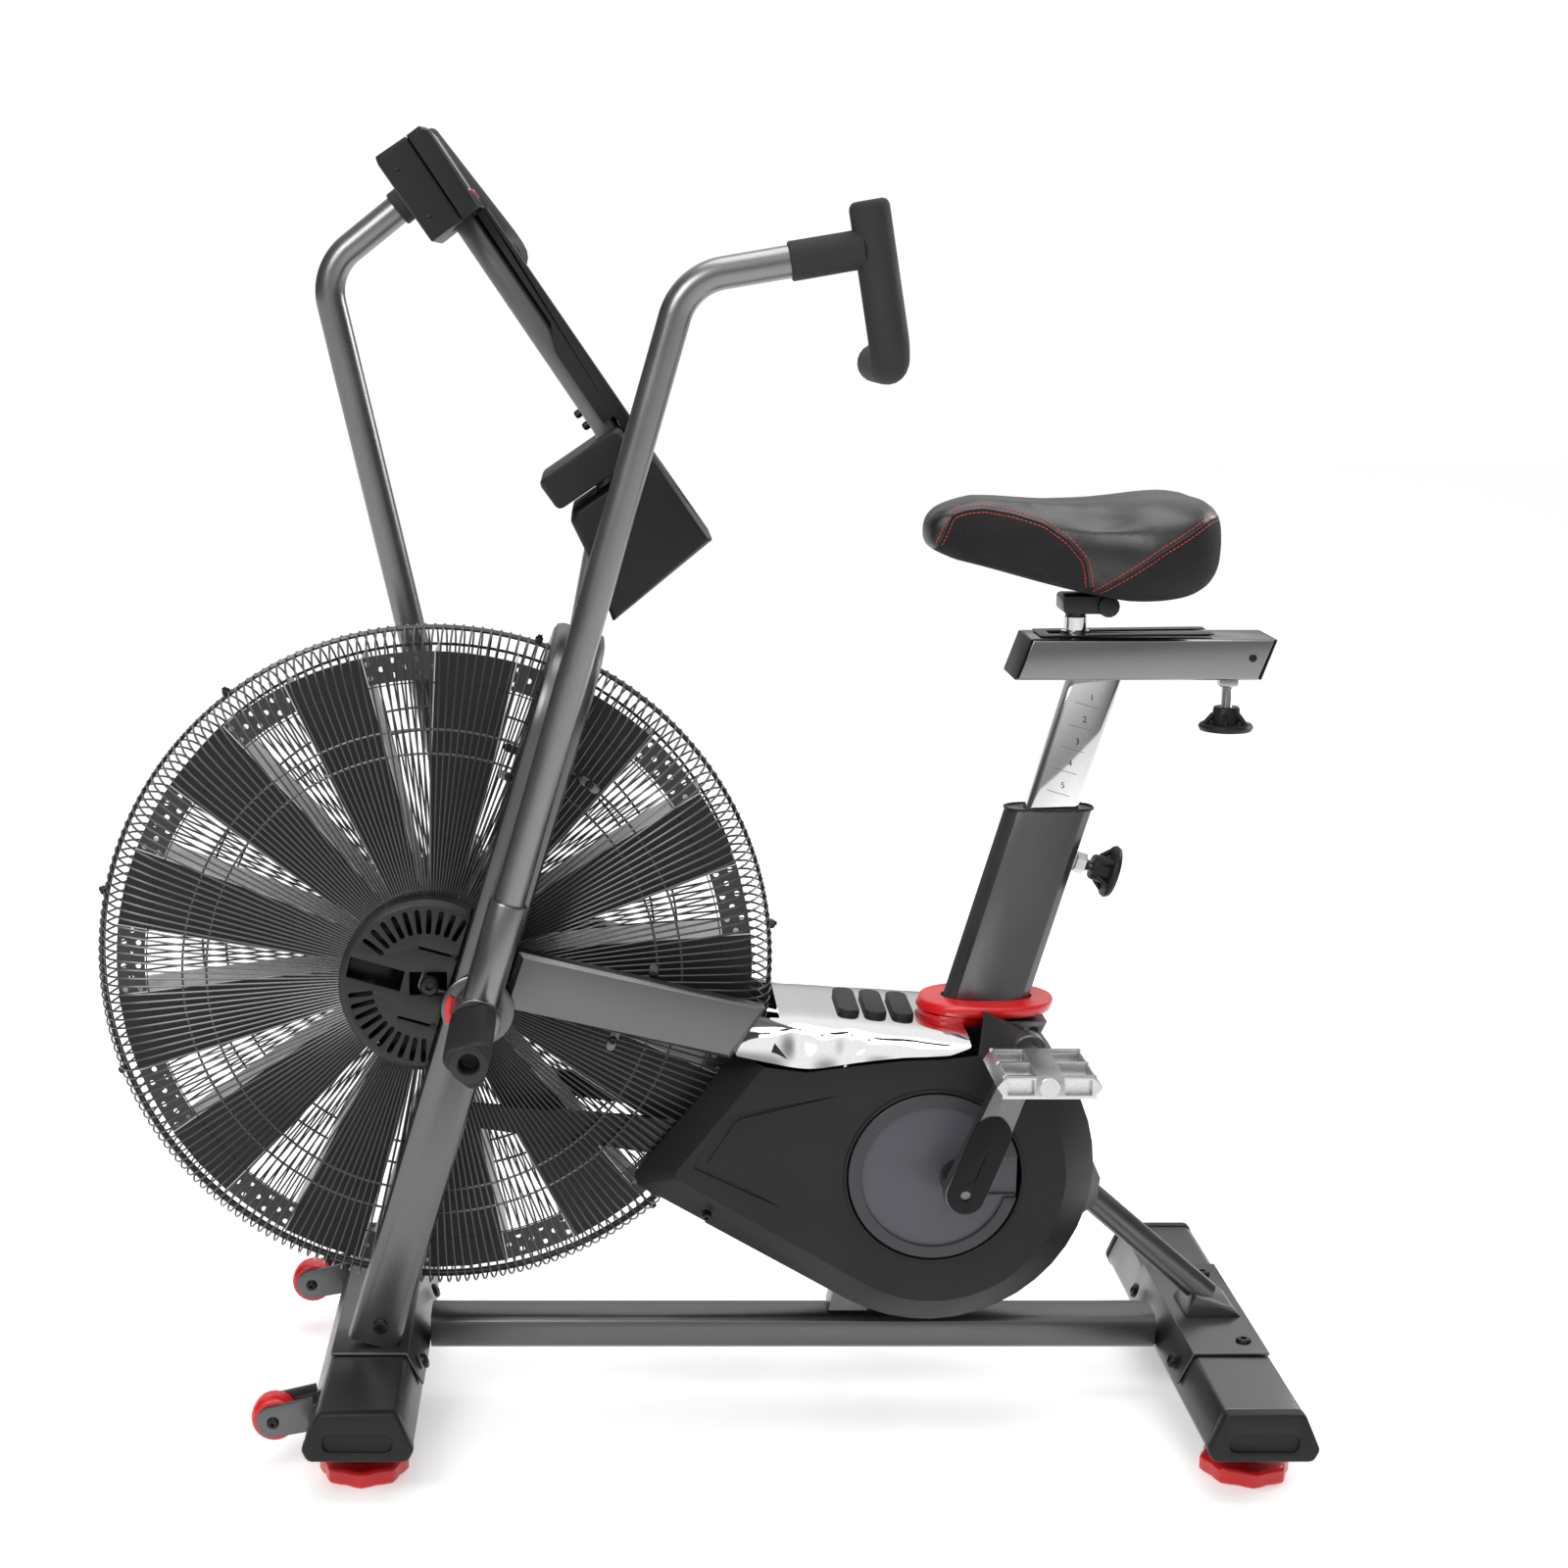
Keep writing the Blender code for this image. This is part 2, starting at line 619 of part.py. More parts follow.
def add_blade(bm, side, turn):
    """A flat web with one edge bent in to the middle plane."""
    thick = 0.0015
    c, s = math.cos(turn), math.sin(turn)
    web_y = side * (BLADE_Y - 0.003)

    def spot(radius, across, y):
        return at(FAN[0] + c * radius - s * across, y, FAN[1] + s * radius + c * across)

    rings = []
    for radius, near, far in ((0.048, -0.010, 0.009), (BLADE_RADIUS - 0.001, -0.045, 0.040)):
        rings.append(
            [
                spot(radius, near, web_y), spot(radius, far, web_y), spot(radius, far + 0.004, 0.0),
                spot(radius, far + 0.004 + thick, 0.0), spot(radius, far + thick, web_y + side * thick),
                spot(radius, near, web_y + side * thick),
            ],
        )
    add_body(bm, rings)


# ---- Drive --------------------------------------------------------------------------------------


def build_drive():
    centre = (CRANK[0], 0, CRANK[1])
    profile = [
        (0.0085, -0.146), (0.0085, -0.083), (0.0125, -0.082), (0.0125, 0.082), (0.0085, 0.083),
        (0.0085, 0.146),
    ]
    axle = add("crank_axle", turned(CRANK, profile, 16), MATERIALS["steel"], origin=centre)
    lobes = []
    for side in (-1, 1):
        lobe = (CRANK[0] + side * ECCENTRIC, CRANK[1])
        lobes.append(disc(lobe, 0.046, side * 0.0715, side * 0.079, 28))
    join(axle, *lobes)
    wheel = turned(CRANK, [(0.088, 0.0435), (0.088, 0.0565)], 40)
    pulley = add("drive_pulley", wheel, MATERIALS["steel"], origin=centre)
    holes = [
        disc((CRANK[0] + 0.052 * math.cos(t), CRANK[1] + 0.052 * math.sin(t)), 0.016, 0.03, 0.07, 12)
        for t in (2 * math.pi * k / 5 for k in range(5))
    ]
    cut(pulley, disc(CRANK, 0.0129, 0.03, 0.07, 16), *holes)
    build_belt()
    for side, word, turn in ((-1, "left", 0.0), (1, "right", math.pi)):
        build_crank_arm(side, word, turn)


def build_belt():
    """A flat loop round the two pulleys."""
    big, small, inner, thick = 0.088, 0.030, 0.0006, 0.003
    dx, dz = CRANK[0] - FAN[0], CRANK[1] - FAN[1]
    span = math.hypot(dx, dz)
    line = math.degrees(math.atan2(dz, dx))
    lap = math.degrees(math.acos((big - small) / span))
    rings = []
    for centre, radius, start, end, steps in (
        (CRANK, big, line + lap - 180, line + 180 - lap, 20),
        (FAN, small, line + 180 - lap, line + 180 + lap, 10),
    ):
        low = arc(centre, radius + inner, start, end, steps)
        high = arc(centre, radius + inner + thick, start, end, steps)
        y0, y1 = 0.0445, 0.0555
        for (a, b), (c, d) in zip(low, high):
            rings.append([at(a, y0, b), at(a, y1, b), at(c, y1, d), at(c, y0, d)])
    add("drive_belt", loft(*rings, closed=True), MATERIALS["rubber"])


def crank_end(turn):
    angle = math.radians(68.3) + turn
    return CRANK[0] + CRANK_LENGTH * math.cos(angle), CRANK[1] + CRANK_LENGTH * math.sin(angle)


def build_crank_arm(side, word, turn):
    end = crank_end(turn)
    angle = math.degrees(math.atan2(end[1] - CRANK[1], end[0] - CRANK[0]))
    outline = arc(CRANK, 0.022, angle + 90, angle + 270, 8) + arc(end, 0.015, angle - 90, angle + 90, 8)
    rings = [(0.1475, -0.002), (0.1495, 0.0), (0.1665, 0.0), (0.1685, -0.002)]
    bm = loft(*[side_ring(outline, side * y, g) for y, g in rings])
    arm = add(f"crank_arm_{word}", bm, MATERIALS["dark_metal"], origin=(CRANK[0], 0, CRANK[1]))
    join(
        arm, disc(CRANK, 0.0175, side * 0.1135, side * 0.149, 16),
        disc(end, 0.0075, side * 0.160, side * (PEDAL_OUT - 0.006), 12),
    )
    cut(arm, disc(CRANK, 0.0089, side * 0.10, side * 0.1465, 16))
    build_pedal(f"pedal_{word}", end, side)


def build_pedal(name, end, side):
    """A flat cage round a sleeve that turns on the spindle."""
    origin = (end[0], side * (PEDAL_IN + PEDAL_OUT) / 2, end[1])
    long_half, high_half = 0.053, 0.012
    outline = [
        (-long_half, 0.0), (-0.042, high_half), (-0.012, high_half), (0.012, high_half),
        (0.042, high_half), (long_half, 0.0), (0.042, -high_half), (-0.042, -high_half),
    ]
    outline = [(end[0] + x, end[1] + z) for x, z in outline]
    bm = plate(outline, side * PEDAL_IN, side * PEDAL_OUT)
    pedal = add(name, bm, MATERIALS["aluminium"], origin=origin)
    y0, y1 = side * (PEDAL_IN + 0.005), side * (PEDAL_OUT - 0.005)
    cuts = [disc(end, 0.0079, side * 0.15, side * (PEDAL_OUT - 0.005), 12)]
    for a, b in ((-0.043, -0.013), (0.013, 0.043)):
        cuts.append(
            plate(
                [
                    (end[0] + a, end[1] - 0.02), (end[0] + b, end[1] - 0.02), (end[0] + b, end[1] + 0.02),
                    (end[0] + a, end[1] + 0.02),
                ],
                y0, y1,
            ),
        )
    cut(pedal, *cuts)


def build_cover(side, word):
    """A dished half shell: a flat face, a band that slopes away from it, and a wall to the middle."""
    rim = arc(COVER_CENTRE, COVER_RADIUS, 72, -119.8, 24) + [
        (-0.030, 0.258), (-0.056, 0.272), (-0.060, 0.287), (0.052, 0.424)
    ]
    step = arc(COVER_CENTRE, COVER_RADIUS - 0.036, 72, -119.8, 24) + [
        (-0.006, 0.289), (-0.014, 0.294), (-0.012, 0.303), (0.080, 0.418)
    ]
    crest = [(0.125, 0.412), (0.180, 0.4195), (0.230, 0.4250), (0.270, 0.4262)]
    bm = bmesh.new()
    low, high, inner, top = [
        [bm.verts.new(at(x, side * y, z)) for x, z in row]
        for row, y in ((rim, 0.0005), (rim, 0.074), (step, COVER_Y), (crest, COVER_Y))
    ]
    for i in range(len(rim) - 1):
        bm.faces.new((low[i], low[i + 1], high[i + 1], high[i]))
        bm.faces.new((high[i], high[i + 1], inner[i + 1], inner[i]))
    bm.faces.new(inner + top)
    cover = add(f"cover_{word}", bm, MATERIALS["plastic"])
    lift = max(cover.data.polygons, key=lambda p: p.area).normal.y * side
    modifier = cover.modifiers.new("wall", "SOLIDIFY")
    modifier.thickness = COVER_WALL
    modifier.offset = -1.0 if lift > 0 else 1.0
    settle(cover)
    opening = disc(COVER_CENTRE, DISC_RADIUS + 0.002, side * 0.09, side * 0.13, 40)
    rods = plate([(-0.08, 0.20), (0.02, 0.20), (0.02, 0.47), (-0.08, 0.47)], -side * 0.01, side * 0.076)
    boom = plate(
        [
            boom_point(0.18, 0.012), boom_point(0.18, 0.050), boom_point(0.48, 0.050),
            boom_point(0.48, 0.012),
        ],
        side * 0.066, side * 0.0925,
    )
    fan = disc(FAN, CAGE_RADIUS + 0.0085, -side * 0.01, side * 0.072, 48)
    core = [(0.150, 0.09), (0.225, 0.09), (0.225, 0.16), (0.150, 0.16)]
    frame = plate(core, -side * 0.01, side * 0.0195)
    brace = plate([(0.42, 0.225), (0.47, 0.20), (0.47, 0.300), (0.42, 0.300)], -side * 0.01, side * 0.0235)
    collar = plate(
        [(0.24, 0.396), (0.376, 0.396), (0.41, 0.44), (0.41, 0.50), (0.24, 0.50)], -side * 0.01,
        side * 0.046,
    )
    rest = plate([(0.24, 0.442), (0.42, 0.442), (0.42, 0.50), (0.24, 0.50)], -side * 0.01, side * 0.0595)
    cut(cover, opening, rods, boom, fan, frame, brace, collar, rest)


def build_cover_disc(side, word):
    """The round cover plate, slotted to its rear edge so that it slides over the crank axle."""
    profile = [
        (DISC_RADIUS, side * 0.1045), (DISC_RADIUS, side * 0.1085), (DISC_RADIUS - 0.003, side * 0.1105)
    ]
    plate_disc = add(f"crank_disc_{word}", turned(COVER_CENTRE, profile, 48), MATERIALS["disc"])
    slot = arc(CRANK, 0.0195, 90, 270, 8) + [
        (CRANK[0] + 0.08, CRANK[1] - 0.0195), (CRANK[0] + 0.08, CRANK[1] + 0.0195)
    ]
    cut(plate_disc, plate(slot, side * 0.09, side * 0.12))


def build_shroud():
    """The bright hood over the frame, with its sides down to the covers' wavy edge."""
    stations = (
        (0.0560, 0.4285, 0.4300), (0.0935, 0.4215, 0.4680), (0.125, 0.416, 0.4670),
        (0.180, 0.4235, 0.4625), (0.230, 0.4290, 0.4590), (0.278, 0.4305, 0.4550),
        (0.3020, 0.4400, 0.4525),
    )
    bm = bmesh.new()
    rows = []
    for x, low, high in stations:
        wide, narrow = 0.1125, 0.084
        rows.append(
            [
                bm.verts.new(p)
                for p in (
                    at(x, -wide, low), at(x, -narrow, high), at(x, -narrow + 0.02, high + 0.001),
                    at(x, narrow - 0.02, high + 0.001), at(x, narrow, high), at(x, wide, low),
                )
            ],
        )
    for a, b in zip(rows, rows[1:]):
        for i in range(5):
            bm.faces.new((a[i], a[i + 1], b[i + 1], b[i]))
    shroud = add("top_shroud", bm, MATERIALS["chrome"])
    up = max(shroud.data.polygons, key=lambda p: p.area).normal.z
    modifier = shroud.modifiers.new("wall", "SOLIDIFY")
    modifier.thickness = 0.0025
    modifier.offset = -1.0 if up > 0 else 1.0
    settle(shroud)
    fan = disc(FAN, CAGE_RADIUS + 0.0085, -0.072, 0.072, 48)
    tube = seat_sweep(-0.10, 0.10, aero_outline(0.050, 0.097))
    booms = [
        plate(
            [
                boom_point(0.18, 0.012), boom_point(0.18, 0.050), boom_point(0.48, 0.050),
                boom_point(0.48, 0.012),
            ],
            side * 0.066, side * 0.0925,
        )
        for side in (-1, 1)
    ]
    cut(
        shroud, fan, tube, *booms,
        plate([(0.248, 0.4445), (0.33, 0.4445), (0.33, 0.49), (0.248, 0.49)], -0.058, 0.058),
    )


def build_collar():
    """The red ring round the foot of the seat tube."""
    rings = []
    for z, scale in ((0.4495, 0.95), (0.4530, 1.0), (0.4625, 1.0), (0.4665, 0.96)):
        x = SEAT_FOOT[0] + math.tan(SEAT_LEAN) * (z - SEAT_FOOT[1])
        rings.append([at(x + a * scale, b * scale, z) for b, a in aero_outline(0.110, 0.147)])
    collar = add("seat_collar", loft(*rings), MATERIALS["red"])
    cut(collar, seat_sweep(-0.05, 0.05, aero_outline(0.0468, 0.0928)))


# ---- Arms ---------------------------------------------------------------------------------------


def build_arm(side, word):
    """The arm with its sleeve, its boss on the pivot and the lever inside the cage."""
    lean = ARM_MIDDLE - side * ARM_SWING

    def spot(along, out=0.0):
        x, z = lean_point(PIVOT, lean, along)
        return x + math.cos(lean) * out, z - math.sin(lean) * out

    y = side * ARM_Y
    origin = (PIVOT[0], y, PIVOT[1])
    foot, corner, level = spot(0.010), spot(ARM_REACH), spot(*handle_spot(LEVEL_TUBE))
    path = bent([at(foot[0], y, foot[1]), at(corner[0], y, corner[1]), at(level[0], y, level[1])], 0.060, 6)
    arm = add(
        f"arm_{word}", sweep(path, circle((0, 0), ARM_RADIUS, 12), (0, 1, 0)), MATERIALS["arm"],
        origin=origin,
    )
    sleeve_top = spot(0.130)
    sleeve = rod(
        at(foot[0], y, foot[1]), at(sleeve_top[0], y, sleeve_top[1]), [(0.0205, 0.0), (0.0205, 0.120)], 16
    )
    boss = disc(PIVOT, 0.026, side * 0.1295, side * 0.1705, 20)
    join(arm, sleeve, boss)
    end = lean_point(PIVOT, -side * ARM_SWING, -LEVER)
    angle = math.degrees(math.atan2(end[1] - PIVOT[1], end[0] - PIVOT[0]))
    outline = arc(PIVOT, 0.019, angle + 90, angle + 270, 8) + arc(end, 0.012, angle - 90, angle + 90, 8)
    shaft = disc(PIVOT, 0.0115, side * 0.073, side * 0.135, 16)
    lever = plate(outline, side * 0.0695, side * 0.0755)
    pin = disc(end, 0.005, side * (ROD_Y - 0.004), side * 0.0725, 10)
    join(arm, shaft, lever, pin)
    build_grip(side, word, spot, origin)
    build_rod(side, word, end)


def handle_spot(level, down=0.0):
    """Along and out from the pivot, in the arm's own frame, of a point on the level tube or the grip bar."""
    rise = math.radians(25.3)
    along = ARM_REACH + math.sin(rise) * level - math.cos(rise) * down
    return along, math.cos(rise) * level + math.sin(rise) * down


def build_grip(side, word, spot, origin):
    """A socket on the arm's end and a bar across it, whose foot hooks in towards the middle."""
    y = side * ARM_Y
    level = LEVEL_ALL[side]
    start, mid = spot(*handle_spot(LEVEL_TUBE)), spot(*handle_spot(level))
    top, low = spot(*handle_spot(level, -0.046)), spot(*handle_spot(level, 0.117))
    hook = spot(*handle_spot(level - 0.006, 0.117))
    inner = side * (ARM_Y - HOOK)
    path = bent([at(top[0], y, top[1]), at(low[0], y, low[1]), at(hook[0], inner, hook[1])], 0.030, 6)
    bar_axis = (path[1] - path[0]).normalized()
    across = bar_axis.cross(Vector((0, 1, 0)))
    r = 0.0205
    scale = [0.80, 1.0] + [1.0] * (len(path) - 3) + [0.80]
    lead = [path[0], path[0] + bar_axis * 0.006] + path[1:]
    rings = []
    for i, point in enumerate(lead):
        before = (point - lead[i - 1]).normalized() if i else bar_axis
        after = (lead[i + 1] - point).normalized() if i < len(lead) - 1 else before
        other = (before + after).normalized().cross(across)
        size = r * (scale + [0.80])[i] if i < len(lead) - 1 else r * 0.78
        rings.append([point + across * a * size + other * b * size for a, b in circle((0, 0), 1.0, 14)])
    grip = add(f"grip_{word}", loft(*rings), MATERIALS["foam"], origin=origin)
    axis = (at(mid[0], y, mid[1]) - at(start[0], y, start[1])).normalized()
    begin = at(start[0], y, start[1]) + axis * GAP
    join(grip, rod(begin, begin + axis, [(0.0199, 0.0), (0.0199, level - LEVEL_TUBE - 0.010)], 14))


def build_rod(side, word, end):
    """A link rod from the lever's pin to beside the crank's eccentric, where it is left open."""
    travel = 2 * ECCENTRIC
    near = (CRANK[0] - (travel if side < 0 else 0.0), CRANK[1] + 0.002)
    far = (near[0] + travel, near[1])
    origin = (end[0], side * ROD_Y, end[1])
    angle = math.degrees(math.atan2(near[1] - end[1], near[0] - end[0]))
    y0, y1 = side * (ROD_Y - ROD_THICK / 2), side * (ROD_Y + ROD_THICK / 2)
    outline = arc(
        end, 0.012, angle + 90, angle + 270, 8
    ) + arc(near, 0.030, 270, 280, 1) + arc(far, 0.030, -90, 90, 10) + arc(near, 0.030, 90, 100, 1)
    link = add(f"link_rod_{word}", plate(outline, y0, y1), MATERIALS["dark_metal"], origin=origin)
    slot = arc(near, 0.020, 90, 270, 10) + arc(far, 0.020, -90, 90, 10)
    cut(link, disc(end, 0.0055, side * 0.05, side * 0.08, 12), plate(slot, side * 0.05, side * 0.08))


def build_peg(side, word):
    """A triangular foot peg along the pivot line, held by the washer against the fork leg."""
    corners = []
    for k in range(3):
        t = math.radians(45 + 120 * k)
        corners.append((PIVOT[0] + 0.039 * math.cos(t), PIVOT[1] + 0.039 * math.sin(t)))
    outline = rounded(corners, 0.012, 4)
    rings = [(PEG_IN, -0.001), (PEG_IN + 0.002, 0.0), (PEG_OUT - 0.003, 0.0), (PEG_OUT, -0.003)]
    bm = loft(*[side_ring(outline, side * y, g) for y, g in rings])
    peg = add(f"foot_peg_{word}", bm, MATERIALS["rubber"])
    hole = disc(PIVOT, 0.0105, side * (PEG_OUT - 0.02), side * (PEG_OUT + 0.02), 16)
    cut(peg, hole)


# ---- Console ------------------------------------------------------------------------------------


def panel_outline(points):
    return [on_panel(s, t) for s, t in points]


def build_console(mast_path):
    wide = 0.090
    channel = sweep(mast_path, box_outline(0.046, 0.030, 0.009, 2), (0, 1, 0))
    back = panel_outline([(0.0, 0.002), (0.008, 0.0), (0.101, 0.001), (0.0995, 0.0395), (0.0005, 0.0395)])
    shell = add(
        "console_back",
        loft(
            *[
                side_ring(back, y, g)
                for y, g in ((-wide, -0.003), (-wide + 0.004, 0), (wide - 0.004, 0), (wide, -0.003))
            ],
        ),
        MATERIALS["plastic"],
    )
    cut(shell, channel)
    front = panel_outline(
        [(0.0005, 0.0400), (0.0995, 0.0400), (0.0980, 0.0610), (0.006, 0.0615), (0.0, 0.056)]
    )
    face = add(
        "console_front",
        loft(
            *[
                side_ring(front, y, g)
                for y, g in ((-wide, -0.003), (-wide + 0.004, 0), (wide - 0.004, 0), (wide, -0.003))
            ],
        ),
        MATERIALS["plastic"],
    )
    cut(face, sweep(mast_path, box_outline(0.046, 0.029, 0.009, 2), (0, 1, 0)))
    button_hole = rod(
        at(*spread(0.080, 0.0475)), at(*spread(0.080, 0.070)), [(0.0062, 0.0), (0.0062, 0.03)], 12
    )
    cut(face, button_hole)
    button = rod(at(*spread(0.080, 0.0505)), at(*spread(0.080, 0.070)), [(0.0058, 0.0), (0.0058, 0.0125)], 12)
    place = spread(0.080, 0.0505)
    add("console_button", button, MATERIALS["red"], origin=place)
    lower = panel_outline(
        [
            (0.1000, 0.0531), (0.235, 0.0531), (0.262, 0.040), (0.352, 0.040), (0.352, 0.0531),
            (0.4055, 0.0531), (0.4055, 0.0642), (0.1000, 0.0642),
        ],
    )
    cover = add("mast_cover", loft(side_ring(lower, -0.027), side_ring(lower, 0.027)), MATERIALS["plastic"])
    join(
        cover,
        plate(
            panel_outline([(0.1003, 0.0615), (0.4055, 0.0630), (0.4055, 0.0668), (0.1003, 0.0650)]),
            -0.0285, 0.0285,
        ),
    )
    cut(cover, sweep(mast_path, box_outline(0.0446, 0.0276, 0.009, 2), (0, 1, 0)))
    pod = rounded(
        panel_outline([(0.3615, -0.0495), (0.3985, -0.0485), (0.3985, 0.0520), (0.3615, 0.0520)]), 0.006, 2
    )
    pod_bm = loft(
        *[side_ring(pod, y, g) for y, g in ((-0.072, -0.004), (-0.066, 0), (0.066, 0), (0.072, -0.004))]
    )
    cut(
        add("mast_pod", pod_bm, MATERIALS["plastic"]),
        sweep(mast_path, box_outline(0.0446, 0.0276, 0.009, 2), (0, 1, 0)),
    )
    holder = panel_outline(
        [
            (0.4065, -0.036), (0.415, -0.045), (0.457, -0.051), (0.5275, -0.068), (0.5150, 0.0670),
            (0.4065, 0.0655),
        ],
    )
    holder_bm = loft(
        *[side_ring(holder, y, g) for y, g in ((-0.060, -0.006), (-0.052, 0), (0.052, 0), (0.060, -0.006))]
    )
    bottle = add("bottle_holder", holder_bm, MATERIALS["plastic"])
    bottom, mouth = on_panel(0.466, 0.010), on_panel(0.466, 0.090)
    cup = rod(at(bottom[0], 0, bottom[1]), at(mouth[0], 0, mouth[1]), [(0.034, 0.0), (0.036, 0.080)], 24)
    cut(bottle, sweep(mast_path, box_outline(0.0446, 0.0276, 0.009, 2), (0, 1, 0)), cup)


def spread(s, t, y=0.055):
    x, z = on_panel(s, t)
    return x, y, z


# ---- Seat ---------------------------------------------------------------------------------------


def build_seat():
    post_foot, post_top = seat_line(POST_FOOT, POST_OUT), seat_line(0.3715, POST_OUT)
    section = box_outline(POST_WIDE, POST_DEEP, 0.006, 2)
    origin = (post_foot[0], 0, post_foot[1])
    post = add(
        "seat_post", seat_sweep(POST_FOOT, 0.395, section, POST_OUT), MATERIALS["chrome"], origin=origin
    )
    cut(post, plate([(0.3, SLIDER_LOW - GAP), (0.6, SLIDER_LOW - GAP), (0.6, 1.0), (0.3, 1.0)], -0.1, 0.1))
    slant = 0.0155
    rail = [
        (0.348, SLIDER_LOW), (0.606, SLIDER_LOW), (0.606 + slant, SLIDER_HIGH), (0.348 + slant, SLIDER_HIGH)
    ]
    slider = add(
        "slider_rail",
        loft(
            *[
                side_ring(rail, y, g)
                for y, g in (
                    (-SLIDER_HALF, -0.002), (-SLIDER_HALF + 0.003, 0), (SLIDER_HALF - 0.003, 0),
                    (SLIDER_HALF, -0.002),
                )
            ],
        ),
        MATERIALS["dark_metal"], origin=(post_top[0], 0, post_top[1]),
    )
    groove = [
        (0.395, SLIDER_LOW + 0.006), (0.560, SLIDER_LOW + 0.006), (0.560, SLIDER_HIGH + 0.01),
        (0.395, SLIDER_HIGH + 0.01),
    ]
    hollow = [
        (0.372, SLIDER_LOW + 0.005), (0.585, SLIDER_LOW + 0.005), (0.585, SLIDER_HIGH - 0.005),
        (0.372, SLIDER_HIGH - 0.005),
    ]
    cut(slider, plate(groove, -0.014, 0.014), plate(hollow, -0.030, 0.030))
    build_saddle_clamp()
    knob_x = 0.582
    profile = [
        (0.0095, SLIDER_LOW - GAP), (0.0095, 0.8125), (0.005, 0.812), (0.005, 0.788), (0.015, 0.787),
        (0.0165, 0.768), (0.029, 0.7655), (0.031, 0.756), (0.026, 0.752), (0.0, 0.751),
    ]
    profile = profile[:-1]
    add(
        "slider_knob", upright((knob_x, 0), profile, 20), MATERIALS["plastic"],
        origin=(knob_x, 0, SLIDER_LOW),
    )
    start, end = seat_line(KNOB_UP, 0.040), seat_line(KNOB_UP, 0.12)
    shape = [
        (0.0068, 0.0), (0.0068, 0.0085), (0.0105, 0.009), (0.0105, 0.020), (0.006, 0.0205), (0.006, 0.030)
    ]
    shape += [
        (0.0135, 0.0305), (0.0135, 0.043), (0.0265, 0.0445), (0.0285, 0.049), (0.0255, 0.053),
        (0.012, 0.057),
    ]
    knob = rod(at(start[0], 0, start[1]), at(end[0], 0, end[1]), shape, 20)
    add("post_knob", knob, MATERIALS["plastic"], origin=(start[0], 0, start[1]))


def build_saddle_clamp():
    """The carriage in the slider's groove with the stem and the clamp under the saddle."""
    x = 0.4155
    origin = (x, 0, SLIDER_HIGH)
    foot = [
        (x - 0.018, 0.8345), (x + 0.018, 0.8345), (x + 0.018, SLIDER_HIGH - 0.0055),
        (x - 0.018, SLIDER_HIGH - 0.0055),
    ]
    clamp = add("saddle_clamp", plate(foot, -0.020, 0.020), MATERIALS["steel"], origin=origin)
    stem = upright((x, 0), [(0.011, 0.850), (0.011, 0.900)], 16)
    block = plate(
        rounded(
            [(x - 0.017, 0.8925), (x + 0.030, 0.8925), (x + 0.030, CLAMP_TOP), (x - 0.017, CLAMP_TOP)],
            0.004, 2,
        ),
        -0.024, 0.024,
    )
    join(clamp, stem, block, disc((x + 0.030, 0.901), 0.0115, -0.030, 0.030, 14))


def build_saddle():
    """The padded seat as one plain closed form: a nose that widens to a round rear."""
    rows = (
        (0.0, 0.028, 0.966, 0.990), (0.05, 0.044, 0.957, 1.009), (
            0.20, 0.054, 0.947, 1.0155
        ), (0.40, 0.070, 0.929, 1.0095),
        (
            0.58, 0.098, 0.916, 1.0110
        ), (0.74, 0.120, 0.907, 1.0165), (0.88, 0.119, 0.909, 1.0190), (0.97, 0.090, 0.924, 1.0130),
        (1.0, 0.058, 0.945, 1.002),
    )
    rings = []
    for share, half, low, high in rows:
        x = SADDLE_NOSE + (SADDLE_REAR - SADDLE_NOSE) * share
        middle, deep = (low + high) / 2, (high - low) / 2
        ring = []
        for i in range(16):
            t = 2 * math.pi * i / 16
            c, s = math.cos(t), math.sin(t)
            ring.append(
                at(
                    x, half * math.copysign(abs(c) ** 0.75, c),
                    middle + deep * math.copysign(abs(s) ** 0.7, s),
                ),
            )
        rings.append(ring)
    add("saddle", loft(*rings), MATERIALS["vinyl"], origin=(0.4155, 0, SLIDER_HIGH))


def materials():
    return {
        "frame": finish_material("charcoal_powder_coat", (0.060, 0.061, 0.064), 0.36, 0.75),
        "arm": finish_material("grey_powder_coat", (0.115, 0.117, 0.120), 0.34, 0.75),
        "plastic": finish_material("black_moulded_plastic", (0.018, 0.018, 0.019), 0.50),
        "disc": finish_material("grey_disc_plastic", (0.085, 0.080, 0.098), 0.42),
        "chrome": finish_material("bright_chrome", (0.82, 0.82, 0.83), 0.10, 1.0),
        "red": finish_material("red_plastic", (0.62, 0.012, 0.016), 0.38),
        "steel": finish_material("zinc_steel", (0.50, 0.50, 0.51), 0.32, 1.0),
        "dark_metal": finish_material("dark_satin_metal", (0.075, 0.076, 0.078), 0.38, 0.8),
        "aluminium": finish_material("polished_aluminium", (0.78, 0.78, 0.79), 0.24, 1.0),
        "wire": finish_material("black_wire", (0.012, 0.012, 0.013), 0.40, 0.3),
        "blade": finish_material("fan_sheet", (0.040, 0.040, 0.042), 0.48, 0.4),
        "rubber": finish_material("black_rubber", (0.020, 0.020, 0.020), 0.65),
        "foam": finish_material("grip_foam", (0.045, 0.045, 0.047), 0.70),
        "vinyl": finish_material("saddle_vinyl", (0.030, 0.030, 0.032), 0.50),
    }


